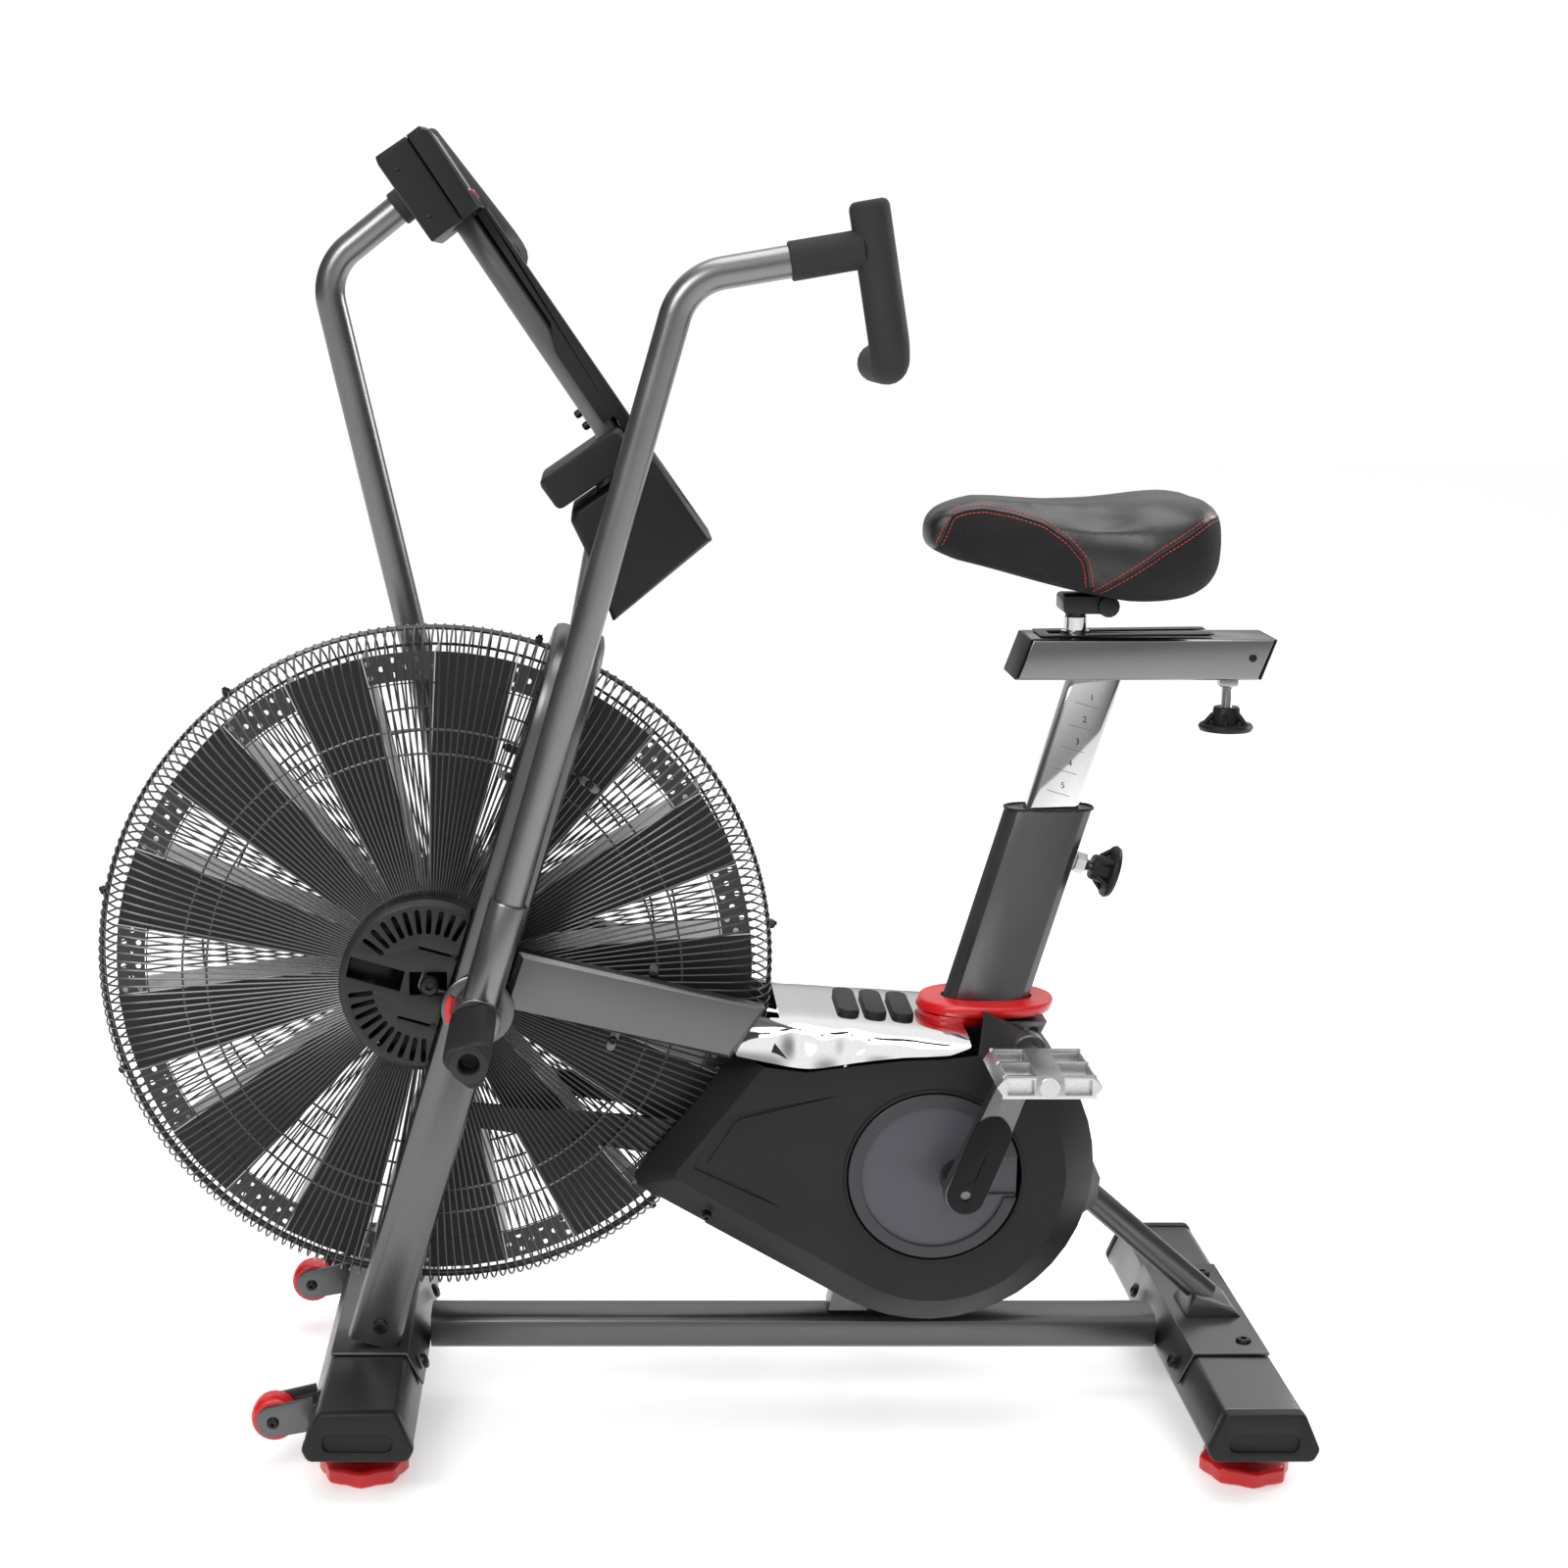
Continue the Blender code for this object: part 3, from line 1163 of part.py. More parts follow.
clear_scene()
MATERIALS = materials()
base()
saddle_plates()
build_fork()
MAST_PATH = build_mast()
build_seat_tube()
build_rear_brace()
build_fan()
build_drive()
build_shroud()
build_collar()
build_console(MAST_PATH)
build_seat()
build_saddle()
for SIDE, WORD in ((-1, "left"), (1, "right")):
    build_boom(SIDE, WORD)
    build_cage(SIDE, WORD)
    build_hub_cap(SIDE, WORD)
    build_cover(SIDE, WORD)
    build_cover_disc(SIDE, WORD)
    build_arm(SIDE, WORD)
    build_peg(SIDE, WORD)
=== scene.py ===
"""Looks of the air bike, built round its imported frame. Metres, fan at -X, rider's left at -Y."""

import json
import math

import bmesh
import bpy
from mathutils import Matrix, Vector

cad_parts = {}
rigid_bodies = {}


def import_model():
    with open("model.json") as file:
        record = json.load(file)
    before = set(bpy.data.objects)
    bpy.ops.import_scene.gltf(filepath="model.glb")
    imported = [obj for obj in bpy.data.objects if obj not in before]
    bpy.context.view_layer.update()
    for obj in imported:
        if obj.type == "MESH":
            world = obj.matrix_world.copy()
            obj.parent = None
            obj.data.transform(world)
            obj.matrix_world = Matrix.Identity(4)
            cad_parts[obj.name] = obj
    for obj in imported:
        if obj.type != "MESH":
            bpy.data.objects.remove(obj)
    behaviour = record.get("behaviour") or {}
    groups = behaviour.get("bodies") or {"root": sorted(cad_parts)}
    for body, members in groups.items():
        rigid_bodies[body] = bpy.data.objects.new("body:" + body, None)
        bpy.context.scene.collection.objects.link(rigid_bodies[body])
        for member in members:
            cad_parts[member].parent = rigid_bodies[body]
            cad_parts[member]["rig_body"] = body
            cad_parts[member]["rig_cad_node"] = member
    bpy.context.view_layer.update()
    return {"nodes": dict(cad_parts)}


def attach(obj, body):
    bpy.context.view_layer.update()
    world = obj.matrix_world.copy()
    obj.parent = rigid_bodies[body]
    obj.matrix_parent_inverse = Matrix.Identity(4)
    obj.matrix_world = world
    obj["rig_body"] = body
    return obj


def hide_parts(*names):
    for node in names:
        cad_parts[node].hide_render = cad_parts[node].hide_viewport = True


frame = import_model()

FAN = Vector((-0.275, 0.0, 0.509))
CRANK = Vector((0.29, 0.0, 0.295))
PIVOT = Vector((-0.2243, 0.0, 0.4835))
COVER_CENTRE = Vector((0.264, 0.0, 0.296))
CRANK_LENGTH, CRANK_TURN = 0.17, math.radians(68.3)
HUB_FACE, COVER_FACE = 0.108, 0.112
WHEEL_X, WHEEL_Y, WHEEL_Z = -0.44, 0.19, 0.058
ARM_Y = 0.15
ARM_SWING, ARM_MIDDLE = math.radians(14.3), math.radians(1.43)
ARM_REACH, LEVEL_TUBE = 0.7884, 0.1045
LEVEL_ALL = {-1: 0.19, 1: 0.172}
HANDLE_RISE = math.radians(25.3)
SEAT_FOOT, SEAT_LEAN = Vector((0.3299, 0.0, 0.462)), math.radians(16.36)
PANEL_TOP, PANEL_SLOPE = Vector((-0.323, 0.0, 1.362)), math.radians(55.6)
BOOM_START, BOOM_SLOPE = Vector((-0.18, 0.0, 0.5455)), math.radians(13.5)
WIRES, BLADES, STRIP_RADIUS = 225, 13, 0.3455
ARM_RADIUS, GRIP_RADIUS, ARM_BEND, GRIP_BEND = 0.0165, 0.0205, 0.06, 0.03
LEVER_REACH = 0.135
UP, ACROSS = Vector((0, 0, 1)), Vector((0, 1, 0))
SIDES = ((-1, "left"), (1, "right"))


# ---- Workshop tools -----------------------------------------------------------------------------


def put_down():
    if bpy.context.object and bpy.context.object.mode != "OBJECT":
        bpy.ops.object.mode_set(mode="OBJECT")
    bpy.ops.object.select_all(action="DESELECT")


def pick(obj):
    put_down()
    obj.select_set(True)
    bpy.context.view_layer.objects.active = obj
    return obj


def seat_at_origin(obj):
    pick(obj)
    bpy.ops.object.transform_apply(location=True, rotation=True, scale=True)
    return obj


def tidy_mesh(obj, weld=1e-6):
    pick(obj)
    bpy.ops.object.mode_set(mode="EDIT")
    bpy.ops.mesh.select_all(action="SELECT")
    bpy.ops.mesh.remove_doubles(threshold=weld)
    bpy.ops.mesh.normals_make_consistent(inside=False)
    bpy.ops.object.mode_set(mode="OBJECT")
    return obj


def finish_modifiers(obj):
    pick(obj)
    for modifier in list(obj.modifiers):
        bpy.ops.object.modifier_apply(modifier=modifier.name)
    return obj


def smooth(obj, degrees=35):
    pick(obj)
    bpy.ops.object.shade_smooth_by_angle(angle=math.radians(degrees))
    return obj


def soften(obj, width, segments=2, degrees=28):
    """Rounds the sharp edges."""
    modifier = obj.modifiers.new("edges", "BEVEL")
    modifier.width = width
    modifier.segments = segments
    modifier.limit_method = "ANGLE"
    modifier.angle_limit = math.radians(degrees)
    modifier.use_clamp_overlap = True
    return smooth(finish_modifiers(obj), 40)


def slab(outline, y0, y1):
    """A plate cut to an outline in the side view, from y0 to y1."""
    put_down()
    bpy.ops.mesh.primitive_circle_add(vertices=len(outline), radius=1.0, fill_type="NGON", location=(0, 0, 0))
    obj = bpy.context.object
    for vertex, (x, z) in zip(obj.data.vertices, outline):
        vertex.co = (x, y0, z)
    bpy.ops.object.mode_set(mode="EDIT")
    bpy.ops.mesh.select_all(action="SELECT")
    bpy.ops.mesh.extrude_region_move(TRANSFORM_OT_translate={"value": (0, y1 - y0, 0)})
    return tidy_mesh(obj)


def draped(rows):
    """A sheet through rows of points."""
    put_down()
    bpy.ops.mesh.primitive_grid_add(x_subdivisions=len(rows[0]) - 1, y_subdivisions=len(rows) - 1, size=1.0)
    obj = bpy.context.object
    points = [point for row in rows for point in row]
    for vertex, point in zip(obj.data.vertices, points):
        vertex.co = point
    return tidy_mesh(obj)


def turned_piece(centre, axis, profile, sides=40):
    """A closed body turned about an axis; the profile is a row of (radius, distance)."""
    put_down()
    axis = Vector(axis).normalized()
    radius, start = profile[0]
    bpy.ops.mesh.primitive_circle_add(
        vertices=sides, radius=radius, fill_type="NGON",
        location=Vector(centre) + axis * start, rotation=axis.to_track_quat("Z", "Y").to_euler(),
    )
    obj = seat_at_origin(bpy.context.object)
    bpy.ops.object.mode_set(mode="EDIT")
    bpy.ops.mesh.select_all(action="SELECT")
    for (r0, d0), (r1, d1) in zip(profile, profile[1:]):
        bpy.ops.mesh.extrude_region_move(TRANSFORM_OT_translate={"value": axis * (d1 - d0)})
        if abs(r1 - r0) > 1e-7:
            share = r1 / r0
            bpy.ops.transform.resize(value=(share, share, share), center_override=Vector(centre) + axis * d1)
    return smooth(tidy_mesh(obj))


def tube(points, radius, fine=6, closed=False, taper=None):
    """A round bar along the points, as a mesh."""
    put_down()
    bpy.ops.curve.primitive_nurbs_path_add(location=(0, 0, 0))
    obj = bpy.context.object
    curve = obj.data
    curve.splines.clear()
    spline = curve.splines.new("POLY")
    spline.points.add(len(points) - 1)
    for i, (spot, point) in enumerate(zip(spline.points, points)):
        spot.co = (*point, 1.0)
        spot.radius = taper[i] if taper else 1.0
    spline.use_cyclic_u = closed
    curve.dimensions = "3D"
    curve.bevel_depth = radius
    curve.bevel_resolution = fine
    curve.use_fill_caps = not closed
    bpy.ops.object.convert(target="MESH")
    return smooth(tidy_mesh(bpy.context.object), 50)


def cad_copy(node, weld=2e-5):
    """A welded copy of a frame node, free of the frame."""
    pick(frame["nodes"][node])
    bpy.ops.object.duplicate()
    obj = bpy.context.object
    obj.parent = None
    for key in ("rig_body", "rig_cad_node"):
        if key in obj:
            del obj[key]
    tidy_mesh(obj, weld)
    bpy.ops.object.mode_set(mode="EDIT")
    bpy.ops.mesh.select_all(action="SELECT")
    bpy.ops.mesh.dissolve_limited(angle_limit=math.radians(1.0))
    bpy.ops.object.mode_set(mode="OBJECT")
    return obj


def carve(obj, *tools, operation="DIFFERENCE"):
    for tool in tools:
        modifier = obj.modifiers.new("cut", "BOOLEAN")
        modifier.operation = operation
        modifier.solver = "EXACT"
        modifier.object = tool
    finish_modifiers(obj)
    for tool in tools:
        bpy.data.objects.remove(tool, do_unlink=True)
    return obj


def gather(name, objs):
    """Joins finished shapes into one piece."""
    put_down()
    for obj in objs:
        obj.select_set(True)
    bpy.context.view_layer.objects.active = objs[0]
    if len(objs) > 1:
        bpy.ops.object.join()
    made = bpy.context.object
    made.name = name
    return made


def wear(obj, name, body, slot, finish=None, replaces=None):
    """Names the piece, gives it its finish, and fixes it to its body; a list of shapes is joined first."""
    if isinstance(obj, list):
        obj = gather(name, obj)
    obj.name = name
    obj.data.materials.clear()
    obj.data.materials.append(FINISH[finish or slot])
    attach(obj, body)
    if replaces:
        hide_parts(replaces)
    return obj


def arc(centre, radius, start, end, steps):
    turns = [math.radians(start + (end - start) * i / steps) for i in range(steps + 1)]
    return [(centre[0] + radius * math.cos(t), centre[1] + radius * math.sin(t)) for t in turns]


def hoop(centre, radius, y, count):
    """Points round a ring that lies in the side view."""
    turns = [2 * math.pi * k / count for k in range(count)]
    return [centre + Vector((radius * math.cos(t), y, radius * math.sin(t))) for t in turns]


def pill(centre, long, wide, lean=0.0, steps=6):
    """An outline with round ends, lying along the first axis and leaned by degrees."""
    half, r = long / 2 - wide / 2, wide / 2
    c, s = math.cos(math.radians(lean)), math.sin(math.radians(lean))
    points = arc((half, 0), r, -90, 90, steps) + arc((-half, 0), r, 90, 270, steps)
    return [(centre[0] + x * c - z * s, centre[1] + x * s + z * c) for x, z in points]


def bent(corners, radius, steps=10):
    """The points of a path whose inner corners are turned into arcs."""
    path = [Vector(corners[0])]
    for before, here, after in zip(corners, corners[1:], corners[2:]):
        here = Vector(here)
        a, b = (Vector(before) - here).normalized(), (Vector(after) - here).normalized()
        half = a.angle(b) / 2
        middle = here + (a + b).normalized() * radius / math.sin(half)
        first = here + a * radius / math.tan(half) - middle
        turn = first.rotation_difference(here + b * radius / math.tan(half) - middle)
        for k in range(steps + 1):
            path.append(middle + Matrix.Rotation(turn.angle * k / steps, 3, turn.axis) @ first)
    return path + [Vector(corners[-1])]


def bolt(centre, axis, size=0.008, head=0.0045):
    """A button-head screw with its hexagon socket."""
    axis = Vector(axis).normalized()
    profile = [(size, -0.001), (size, head * 0.45), (size * 0.82, head * 0.85), (size * 0.45, head)]
    profile += [(size * 0.4, head), (size * 0.36, head * 0.35)]
    return turned_piece(centre, axis, profile, 24)


# ---- Finishes -----------------------------------------------------------------------------------


def dial(node, **values):
    """Sets a node's named inputs; an underscore stands for a space."""
    for socket, value in values.items():
        node.inputs[socket.replace("_", " ")].default_value = value
    return node


def add(nodes, kind, **values):
    return dial(nodes.new(f"ShaderNode{kind}"), **values)


def product(nodes):
    made = nodes.new("ShaderNodeMath")
    made.operation = "MULTIPLY"
    return made


def two_shades(nodes, low, high):
    made = nodes.new("ShaderNodeMix")
    made.data_type = "RGBA"
    made.inputs[6].default_value = (*low, 1.0)
    made.inputs[7].default_value = (*high, 1.0)
    return made


def join(links, *pairs):
    for source, out, target, into in pairs:
        links.new(source.outputs[out], target.inputs[into])


def grain_group():
    """Fine grain: a bump, and a gloss that varies in soft patches."""
    group = bpy.data.node_groups.new("fine_grain", "ShaderNodeTree")
    for socket, value in (("Size", 900.0), ("Depth", 0.2), ("Gloss low", 0.3), ("Gloss high", 0.4)):
        made = group.interface.new_socket(socket, in_out="INPUT", socket_type="NodeSocketFloat")
        made.default_value = value
    for socket, kind in (("Roughness", "Float"), ("Normal", "Vector"), ("Grain", "Float")):
        group.interface.new_socket(socket, in_out="OUTPUT", socket_type=f"NodeSocket{kind}")
    nodes = group.nodes
    start = nodes.new("NodeGroupInput")
    end = nodes.new("NodeGroupOutput")
    place = add(nodes, "TexCoord")
    fine = add(nodes, "TexNoise", Detail=3.0)
    soft = add(nodes, "TexNoise", Scale=9.0, Detail=4.0)
    spread = add(nodes, "MapRange", From_Min=0.35, From_Max=0.65)
    bump = add(nodes, "Bump", Distance=0.0004)
    join(
        group.links,
        (place, "Object", fine, "Vector"), (place, "Object", soft, "Vector"),
        (start, "Size", fine, "Scale"), (start, "Depth", bump, "Strength"),
        (fine, "Fac", bump, "Height"), (soft, "Fac", spread, "Value"),
        (start, "Gloss low", spread, "To Min"), (start, "Gloss high", spread, "To Max"),
        (spread, "Result", end, "Roughness"), (bump, "Normal", end, "Normal"), (fine, "Fac", end, "Grain"),
    )
    return group


def finish(name, low, high, gloss, metal=0.0, size=900.0, depth=0.2, coat=0.0, shine=0.5):
    """A finish whose colour moves between two shades with the grain."""
    made = bpy.data.materials.new(name)
    made.use_nodes = True
    nodes = made.node_tree.nodes
    shader = nodes["Principled BSDF"]
    dial(shader, Metallic=metal, Coat_Weight=coat, Coat_Roughness=0.12, Specular_IOR_Level=shine)
    grain = nodes.new("ShaderNodeGroup")
    grain.node_tree = GRAIN
    dial(grain, Size=size, Depth=depth, Gloss_low=gloss[0], Gloss_high=gloss[1])
    blend = two_shades(nodes, low, high)
    ramp = add(nodes, "MapRange", From_Min=0.25, From_Max=0.75)
    join(
        made.node_tree.links,
        (grain, "Grain", ramp, "Value"), (ramp, "Result", blend, 0), (blend, 2, shader, "Base Color"),
        (grain, "Roughness", shader, "Roughness"), (grain, "Normal", shader, "Normal"),
    )
    return made


def mesh_cloth():
    """Knitted side fabric: small diagonal ribs with holes between."""
    dark, light = (0.006, 0.006, 0.007), (0.045, 0.045, 0.048)
    made = finish("side_mesh", dark, light, (0.7, 0.9), size=500.0, depth=0.3, shine=0.25)
    nodes = made.node_tree.nodes
    shader = nodes["Principled BSDF"]
    place = add(nodes, "TexCoord")
    turn = add(nodes, "Mapping", Rotation=(0.0, math.radians(40), math.radians(12)))
    weave = add(nodes, "TexWave", Scale=130.0)
    cross = add(nodes, "TexWave", Scale=170.0)
    cross.bands_direction = "Z"
    both = product(nodes)
    shade = two_shades(nodes, (0.005, 0.005, 0.006), (0.036, 0.036, 0.038))
    bump = add(nodes, "Bump", Distance=0.0006, Strength=0.8)
    join(
        made.node_tree.links,
        (place, "Object", turn, "Vector"),
        (turn, "Vector", weave, "Vector"), (turn, "Vector", cross, "Vector"),
        (weave, "Fac", both, 0), (cross, "Fac", both, 1), (both, 0, shade, 0), (both, 0, bump, "Height"),
        (shade, 2, shader, "Base Color"), (bump, "Normal", shader, "Normal"),
    )
    return made


def leather_cloth():
    """Black synthetic leather with a pebbled grain."""
    made = finish("saddle_leather", (0.007, 0.007, 0.008), (0.014, 0.014, 0.015), (0.3, 0.42), 0, 600, 0.15)
    nodes = made.node_tree.nodes
    place = add(nodes, "TexCoord")
    pebbles = add(nodes, "TexVoronoi", Scale=700.0)
    bump = add(nodes, "Bump", Distance=0.0003, Strength=0.25)
    join(
        made.node_tree.links,
        (place, "Object", pebbles, "Vector"), (pebbles, "Distance", bump, "Height"),
        (bump, "Normal", nodes["Principled BSDF"], "Normal"),
    )
    return made


GRAIN = grain_group()
FINISH = {
    "frame": finish(
        "charcoal_powder", (0.105, 0.106, 0.108), (0.15, 0.151, 0.154), (0.28, 0.38), 0.9, 2600, 0.1
    ),
    "arm": finish("grey_powder", (0.17, 0.171, 0.173), (0.225, 0.226, 0.229), (0.25, 0.33), 0.9, 2600, 0.08),
    "plastic": finish(
        "textured_black", (0.008, 0.008, 0.008), (0.014, 0.014, 0.015), (0.4, 0.52), 0, 1500, 0.3,
        shine=0.24,
    ),
    "hub": finish(
        "hub_black", (0.012, 0.012, 0.012), (0.019, 0.019, 0.02), (0.38, 0.48), 0, 1500, 0.25, shine=0.35
    ),
    "cap_black": finish(
        "gloss_black", (0.004, 0.004, 0.004), (0.006, 0.006, 0.006), (0.25, 0.35), 0, 900, 0.08, shine=0.16
    ),
    "disc": finish(
        "grey_disc", (0.066, 0.063, 0.077), (0.076, 0.073, 0.088), (0.34, 0.42), 0, 1200, 0.12, shine=0.35
    ),
    "disc_edge": finish(
        "dark_disc", (0.034, 0.033, 0.038), (0.042, 0.04, 0.047), (0.36, 0.44), 0, 1200, 0.12, shine=0.35
    ),
    "chrome": finish("bright_chrome", (0.74, 0.74, 0.75), (0.8, 0.8, 0.81), (0.05, 0.09), 1.0, 300, 0.01),
    "red": finish(
        "red_moulding", (0.58, 0.004, 0.008), (0.66, 0.007, 0.011), (0.28, 0.38), 0.0, 700, 0.05, coat=0.2
    ),
    "steel": finish("zinc_steel", (0.46, 0.46, 0.47), (0.6, 0.6, 0.61), (0.2, 0.3), 1.0, 900, 0.08),
    "dark_metal": finish(
        "satin_grey", (0.12, 0.121, 0.124), (0.165, 0.166, 0.17), (0.24, 0.34), 0.9, 1800, 0.08
    ),
    "rail": finish("satin_rail", (0.2, 0.201, 0.204), (0.25, 0.251, 0.254), (0.2, 0.28), 1.0, 1800, 0.05),
    "screw": finish(
        "black_oxide", (0.012, 0.012, 0.013), (0.022, 0.022, 0.023), (0.26, 0.38), 0.6, 1200, 0.1
    ),
    "aluminium": finish("bright_alloy", (0.46, 0.46, 0.47), (0.58, 0.58, 0.59), (0.26, 0.36), 1.0, 500, 0.05),
    "wire": finish("black_wire", (0.07, 0.07, 0.072), (0.1, 0.1, 0.102), (0.26, 0.36), 0.7, 900, 0.05),
    "blade": finish(
        "fan_black", (0.01, 0.01, 0.01), (0.018, 0.018, 0.018), (0.4, 0.52), 0.1, 900, 0.15, shine=0.35
    ),
    # The flanges are the same dark metal as the blades; their lighter grey is a painted highlight for the
    # light they catch.
    "flange": finish("fan_flange_painted_highlight", (0.5, 0.5, 0.51), (0.66, 0.66, 0.67), (0.38, 0.5), 0.15, 700, 0.1),
    "strip": finish("fan_strip", (0.04, 0.04, 0.041), (0.066, 0.066, 0.068), (0.35, 0.45), 0.5, 900, 0.1),
    "rubber": finish(
        "black_rubber", (0.01, 0.01, 0.01), (0.018, 0.018, 0.018), (0.5, 0.65), 0, 900, 0.2, shine=0.3
    ),
    "foam": finish(
        "grip_foam", (0.014, 0.014, 0.015), (0.03, 0.03, 0.031), (0.6, 0.78), 0, 1400, 0.55, shine=0.3
    ),
    "glass": finish(
        "screen_black", (0.004, 0.004, 0.005), (0.006, 0.006, 0.007), (0.05, 0.1), 0, 300, 0.0, coat=1.0
    ),
    "thread": finish("red_thread", (0.36, 0.02, 0.022), (0.54, 0.035, 0.036), (0.5, 0.7), 0.0, 2500, 0.3),
    "mark": finish("dark_mark", (0.09, 0.09, 0.09), (0.14, 0.14, 0.14), (0.4, 0.5), 0.0, 900, 0.1),
    "vinyl": leather_cloth(),
    "side_mesh": mesh_cloth(),
}


# ---- Frame --------------------------------------------------------------------------------------


def dress_frame():
    """Copies of the frame's own pieces, with their edges rounded as pressed and welded metal has them."""
    soft = (
        ("front_stabiliser", "frame", 0.0025), ("rear_stabiliser", "frame", 0.0025),
        ("front_saddle_plate", "frame", 0.0008), ("rear_saddle_plate", "frame", 0.0008),
        ("bottom_rail", "frame", 0.001), ("fork", "frame", 0.0012), ("mast", "frame", 0.001),
        ("boom_left", "frame", 0.003), ("boom_right", "frame", 0.003), ("rear_brace", "frame", 0.001),
        ("front_cap_left", "plastic", 0.0012), ("front_cap_right", "plastic", 0.0012),
        ("rear_cap_left", "plastic", 0.0012), ("rear_cap_right", "plastic", 0.0012),
        ("console_back", "plastic", 0.0016), ("console_front", "plastic", 0.0016),
        ("mast_cover", "plastic", 0.0008), ("mast_pod", "plastic", 0.0016),
        ("bottle_holder", "plastic", 0.0018), ("foot_peg_left", "rubber", 0.0014),
        ("foot_peg_right", "rubber", 0.0014), ("seat_tube", "frame", 0.0005),
    )

    def dressed(node, name, body, slot, width, finish=None):
        wear(soften(cad_copy(node), width), name, body, slot, finish, node)

    for node, slot, width in soft:
        dressed(node, f"{node}_shell", "frame", slot, width)
    for node in ("front_foot_left", "front_foot_right", "rear_foot_left", "rear_foot_right"):
        dressed(node, f"{node}_knob", node, "red", 0.001)
    for side, word in SIDES:
        dressed(f"transport_wheel_{word}", f"transport_tyre_{word}", f"wheel_{word}", "red", 0.0012)
        dressed(f"crank_arm_{word}", f"crank_arm_{word}_cast", "crank", "dark_metal", 0.001)
        dressed(f"crank_disc_{word}", f"crank_plate_{word}", "frame", "disc", 0.0006)
    dressed("slider_rail", "slider_channel", "seat_post", "dark_metal", 0.001, "rail")
    dressed("seat_post", "seat_pillar", "seat_post", "chrome", 0.0004)
    dressed("saddle_clamp", "saddle_stem", "saddle", "plastic", 0.001, "screw")
    dressed("console_button", "button_cap", "console_button", "red", 0.0006)
    hidden = {
        "fan_axle": "screw", "crank_axle": "screw", "drive_pulley": "steel", "drive_belt": "rubber",
        "link_rod_left": "screw", "link_rod_right": "screw",
    }
    for node, slot in hidden.items():
        shades = frame["nodes"][node].data.materials
        shades.clear()
        shades.append(FINISH[slot])


def frame_fittings():
    """Screws, washers and bosses that belong to the frame."""
    screws = []
    for side, word in SIDES:
        axis = (0, side, 0)
        screws.append(bolt((-0.3328, side * 0.1155, 0.127), axis, 0.0085))
        for x, inward in ((-0.345, 1), (0.589, -1)):
            screws.append(bolt((x + inward * 0.0575, side * 0.1, 0.08), (inward * 0.92, 0, 0.4), 0.0085))
        screws.append(bolt((0.609, side * 0.098, 0.1014), UP, 0.0085))
        screws.append(bolt((0.0206, side * 0.0955, 0.2452), (0, side, -0.3), 0.005))
        screws.append(bolt((WHEEL_X, side * (WHEEL_Y + 0.019), WHEEL_Z), axis, 0.0065))
        screws.append(bolt((WHEEL_X, side * (WHEEL_Y - 0.019), WHEEL_Z), (0, -side, 0), 0.0065))
        screws.append(bolt((0.378, side * 0.0437, 0.438), axis, 0.0045))
        screws.append(bolt(FAN + ACROSS * side * 0.113, axis, 0.0105, 0.008))
        washer = turned_piece(
            PIVOT, axis, [(0.0385, 0.1186), (0.0385, 0.1212), (0.0365, 0.1225), (0.03, 0.1228)]
        )
        wear(washer, f"pivot_washer_{word}", "frame", "steel", "frame")
        wedge = arc((PIVOT.x, PIVOT.z), 0.0345, 150, 205, 8) + arc((PIVOT.x, PIVOT.z), 0.0275, 205, 150, 8)
        wear(
            soften(slab(wedge, side * 0.1226, side * 0.1285), 0.0006), f"pivot_insert_{word}", "frame",
            "red",
        )
        ring = turned_piece(
            PIVOT, axis, [(0.0195, 0.3085), (0.0195, 0.3128), (0.018, 0.3136), (0.0128, 0.3136)]
        )
        bore = turned_piece(PIVOT, axis, [(0.0115, 0.29), (0.0115, 0.33)])
        wear(carve(ring, bore), f"peg_ring_{word}", "frame", "rubber", "hub")
        ears = []
        y = side * WHEEL_Y
        for inner in (-0.0195, 0.0155):
            outline = arc((WHEEL_X, WHEEL_Z), 0.0175, 95, 262, 12) + [(-0.392, 0.05), (-0.3975, 0.086)]
            ears.append(soften(slab(outline, y + inner - 0.0004, y + inner + 0.0044), 0.0007))
        wear(ears, f"wheel_fork_{word}", "frame", "frame")
    wear(screws, "frame_screws", "frame", "frame", "screw")


def cage_clips():
    """Small clamps and screws that hold the two wire halves together and to the frame."""
    clamps, screws = [], []
    for side in (-1, 1):
        for x, z in ((-0.106, 0.7185), (-0.0376, 0.5104), (-0.0809, 0.4388), (-0.1909, 0.7269)):
            out = Vector((x, 0, z)) - FAN
            lean = math.degrees(math.atan2(out.z, out.x))
            clamp = slab(pill((x, z), 0.025, 0.0095, lean + 90), side * 0.0788, side * 0.0812)
            clamps.append(soften(clamp, 0.0005))
            screws.append(bolt((x, side * 0.081, z), (0, side, 0), 0.0048, 0.004))
    for angle in (68, 72, 127, 168, 6, 200, 250, 310):
        out = Vector((math.cos(math.radians(angle)), 0, math.sin(math.radians(angle))))
        spot = FAN + out * 0.3705
        screws.append(
            turned_piece(
                spot, out, [(0.0042, -0.003), (0.0042, 0.0035), (0.0026, 0.0038), (0.0026, 0.006)], 16
            ),
        )
        screws.append(turned_piece(spot, ACROSS, [(0.003, -0.011), (0.003, 0.011)], 12))
    wear(clamps, "cage_clamps", "frame", "steel", "frame")
    wear(screws, "cage_screws", "frame", "wire", "screw")


# ---- Fan ----------------------------------------------------------------------------------------


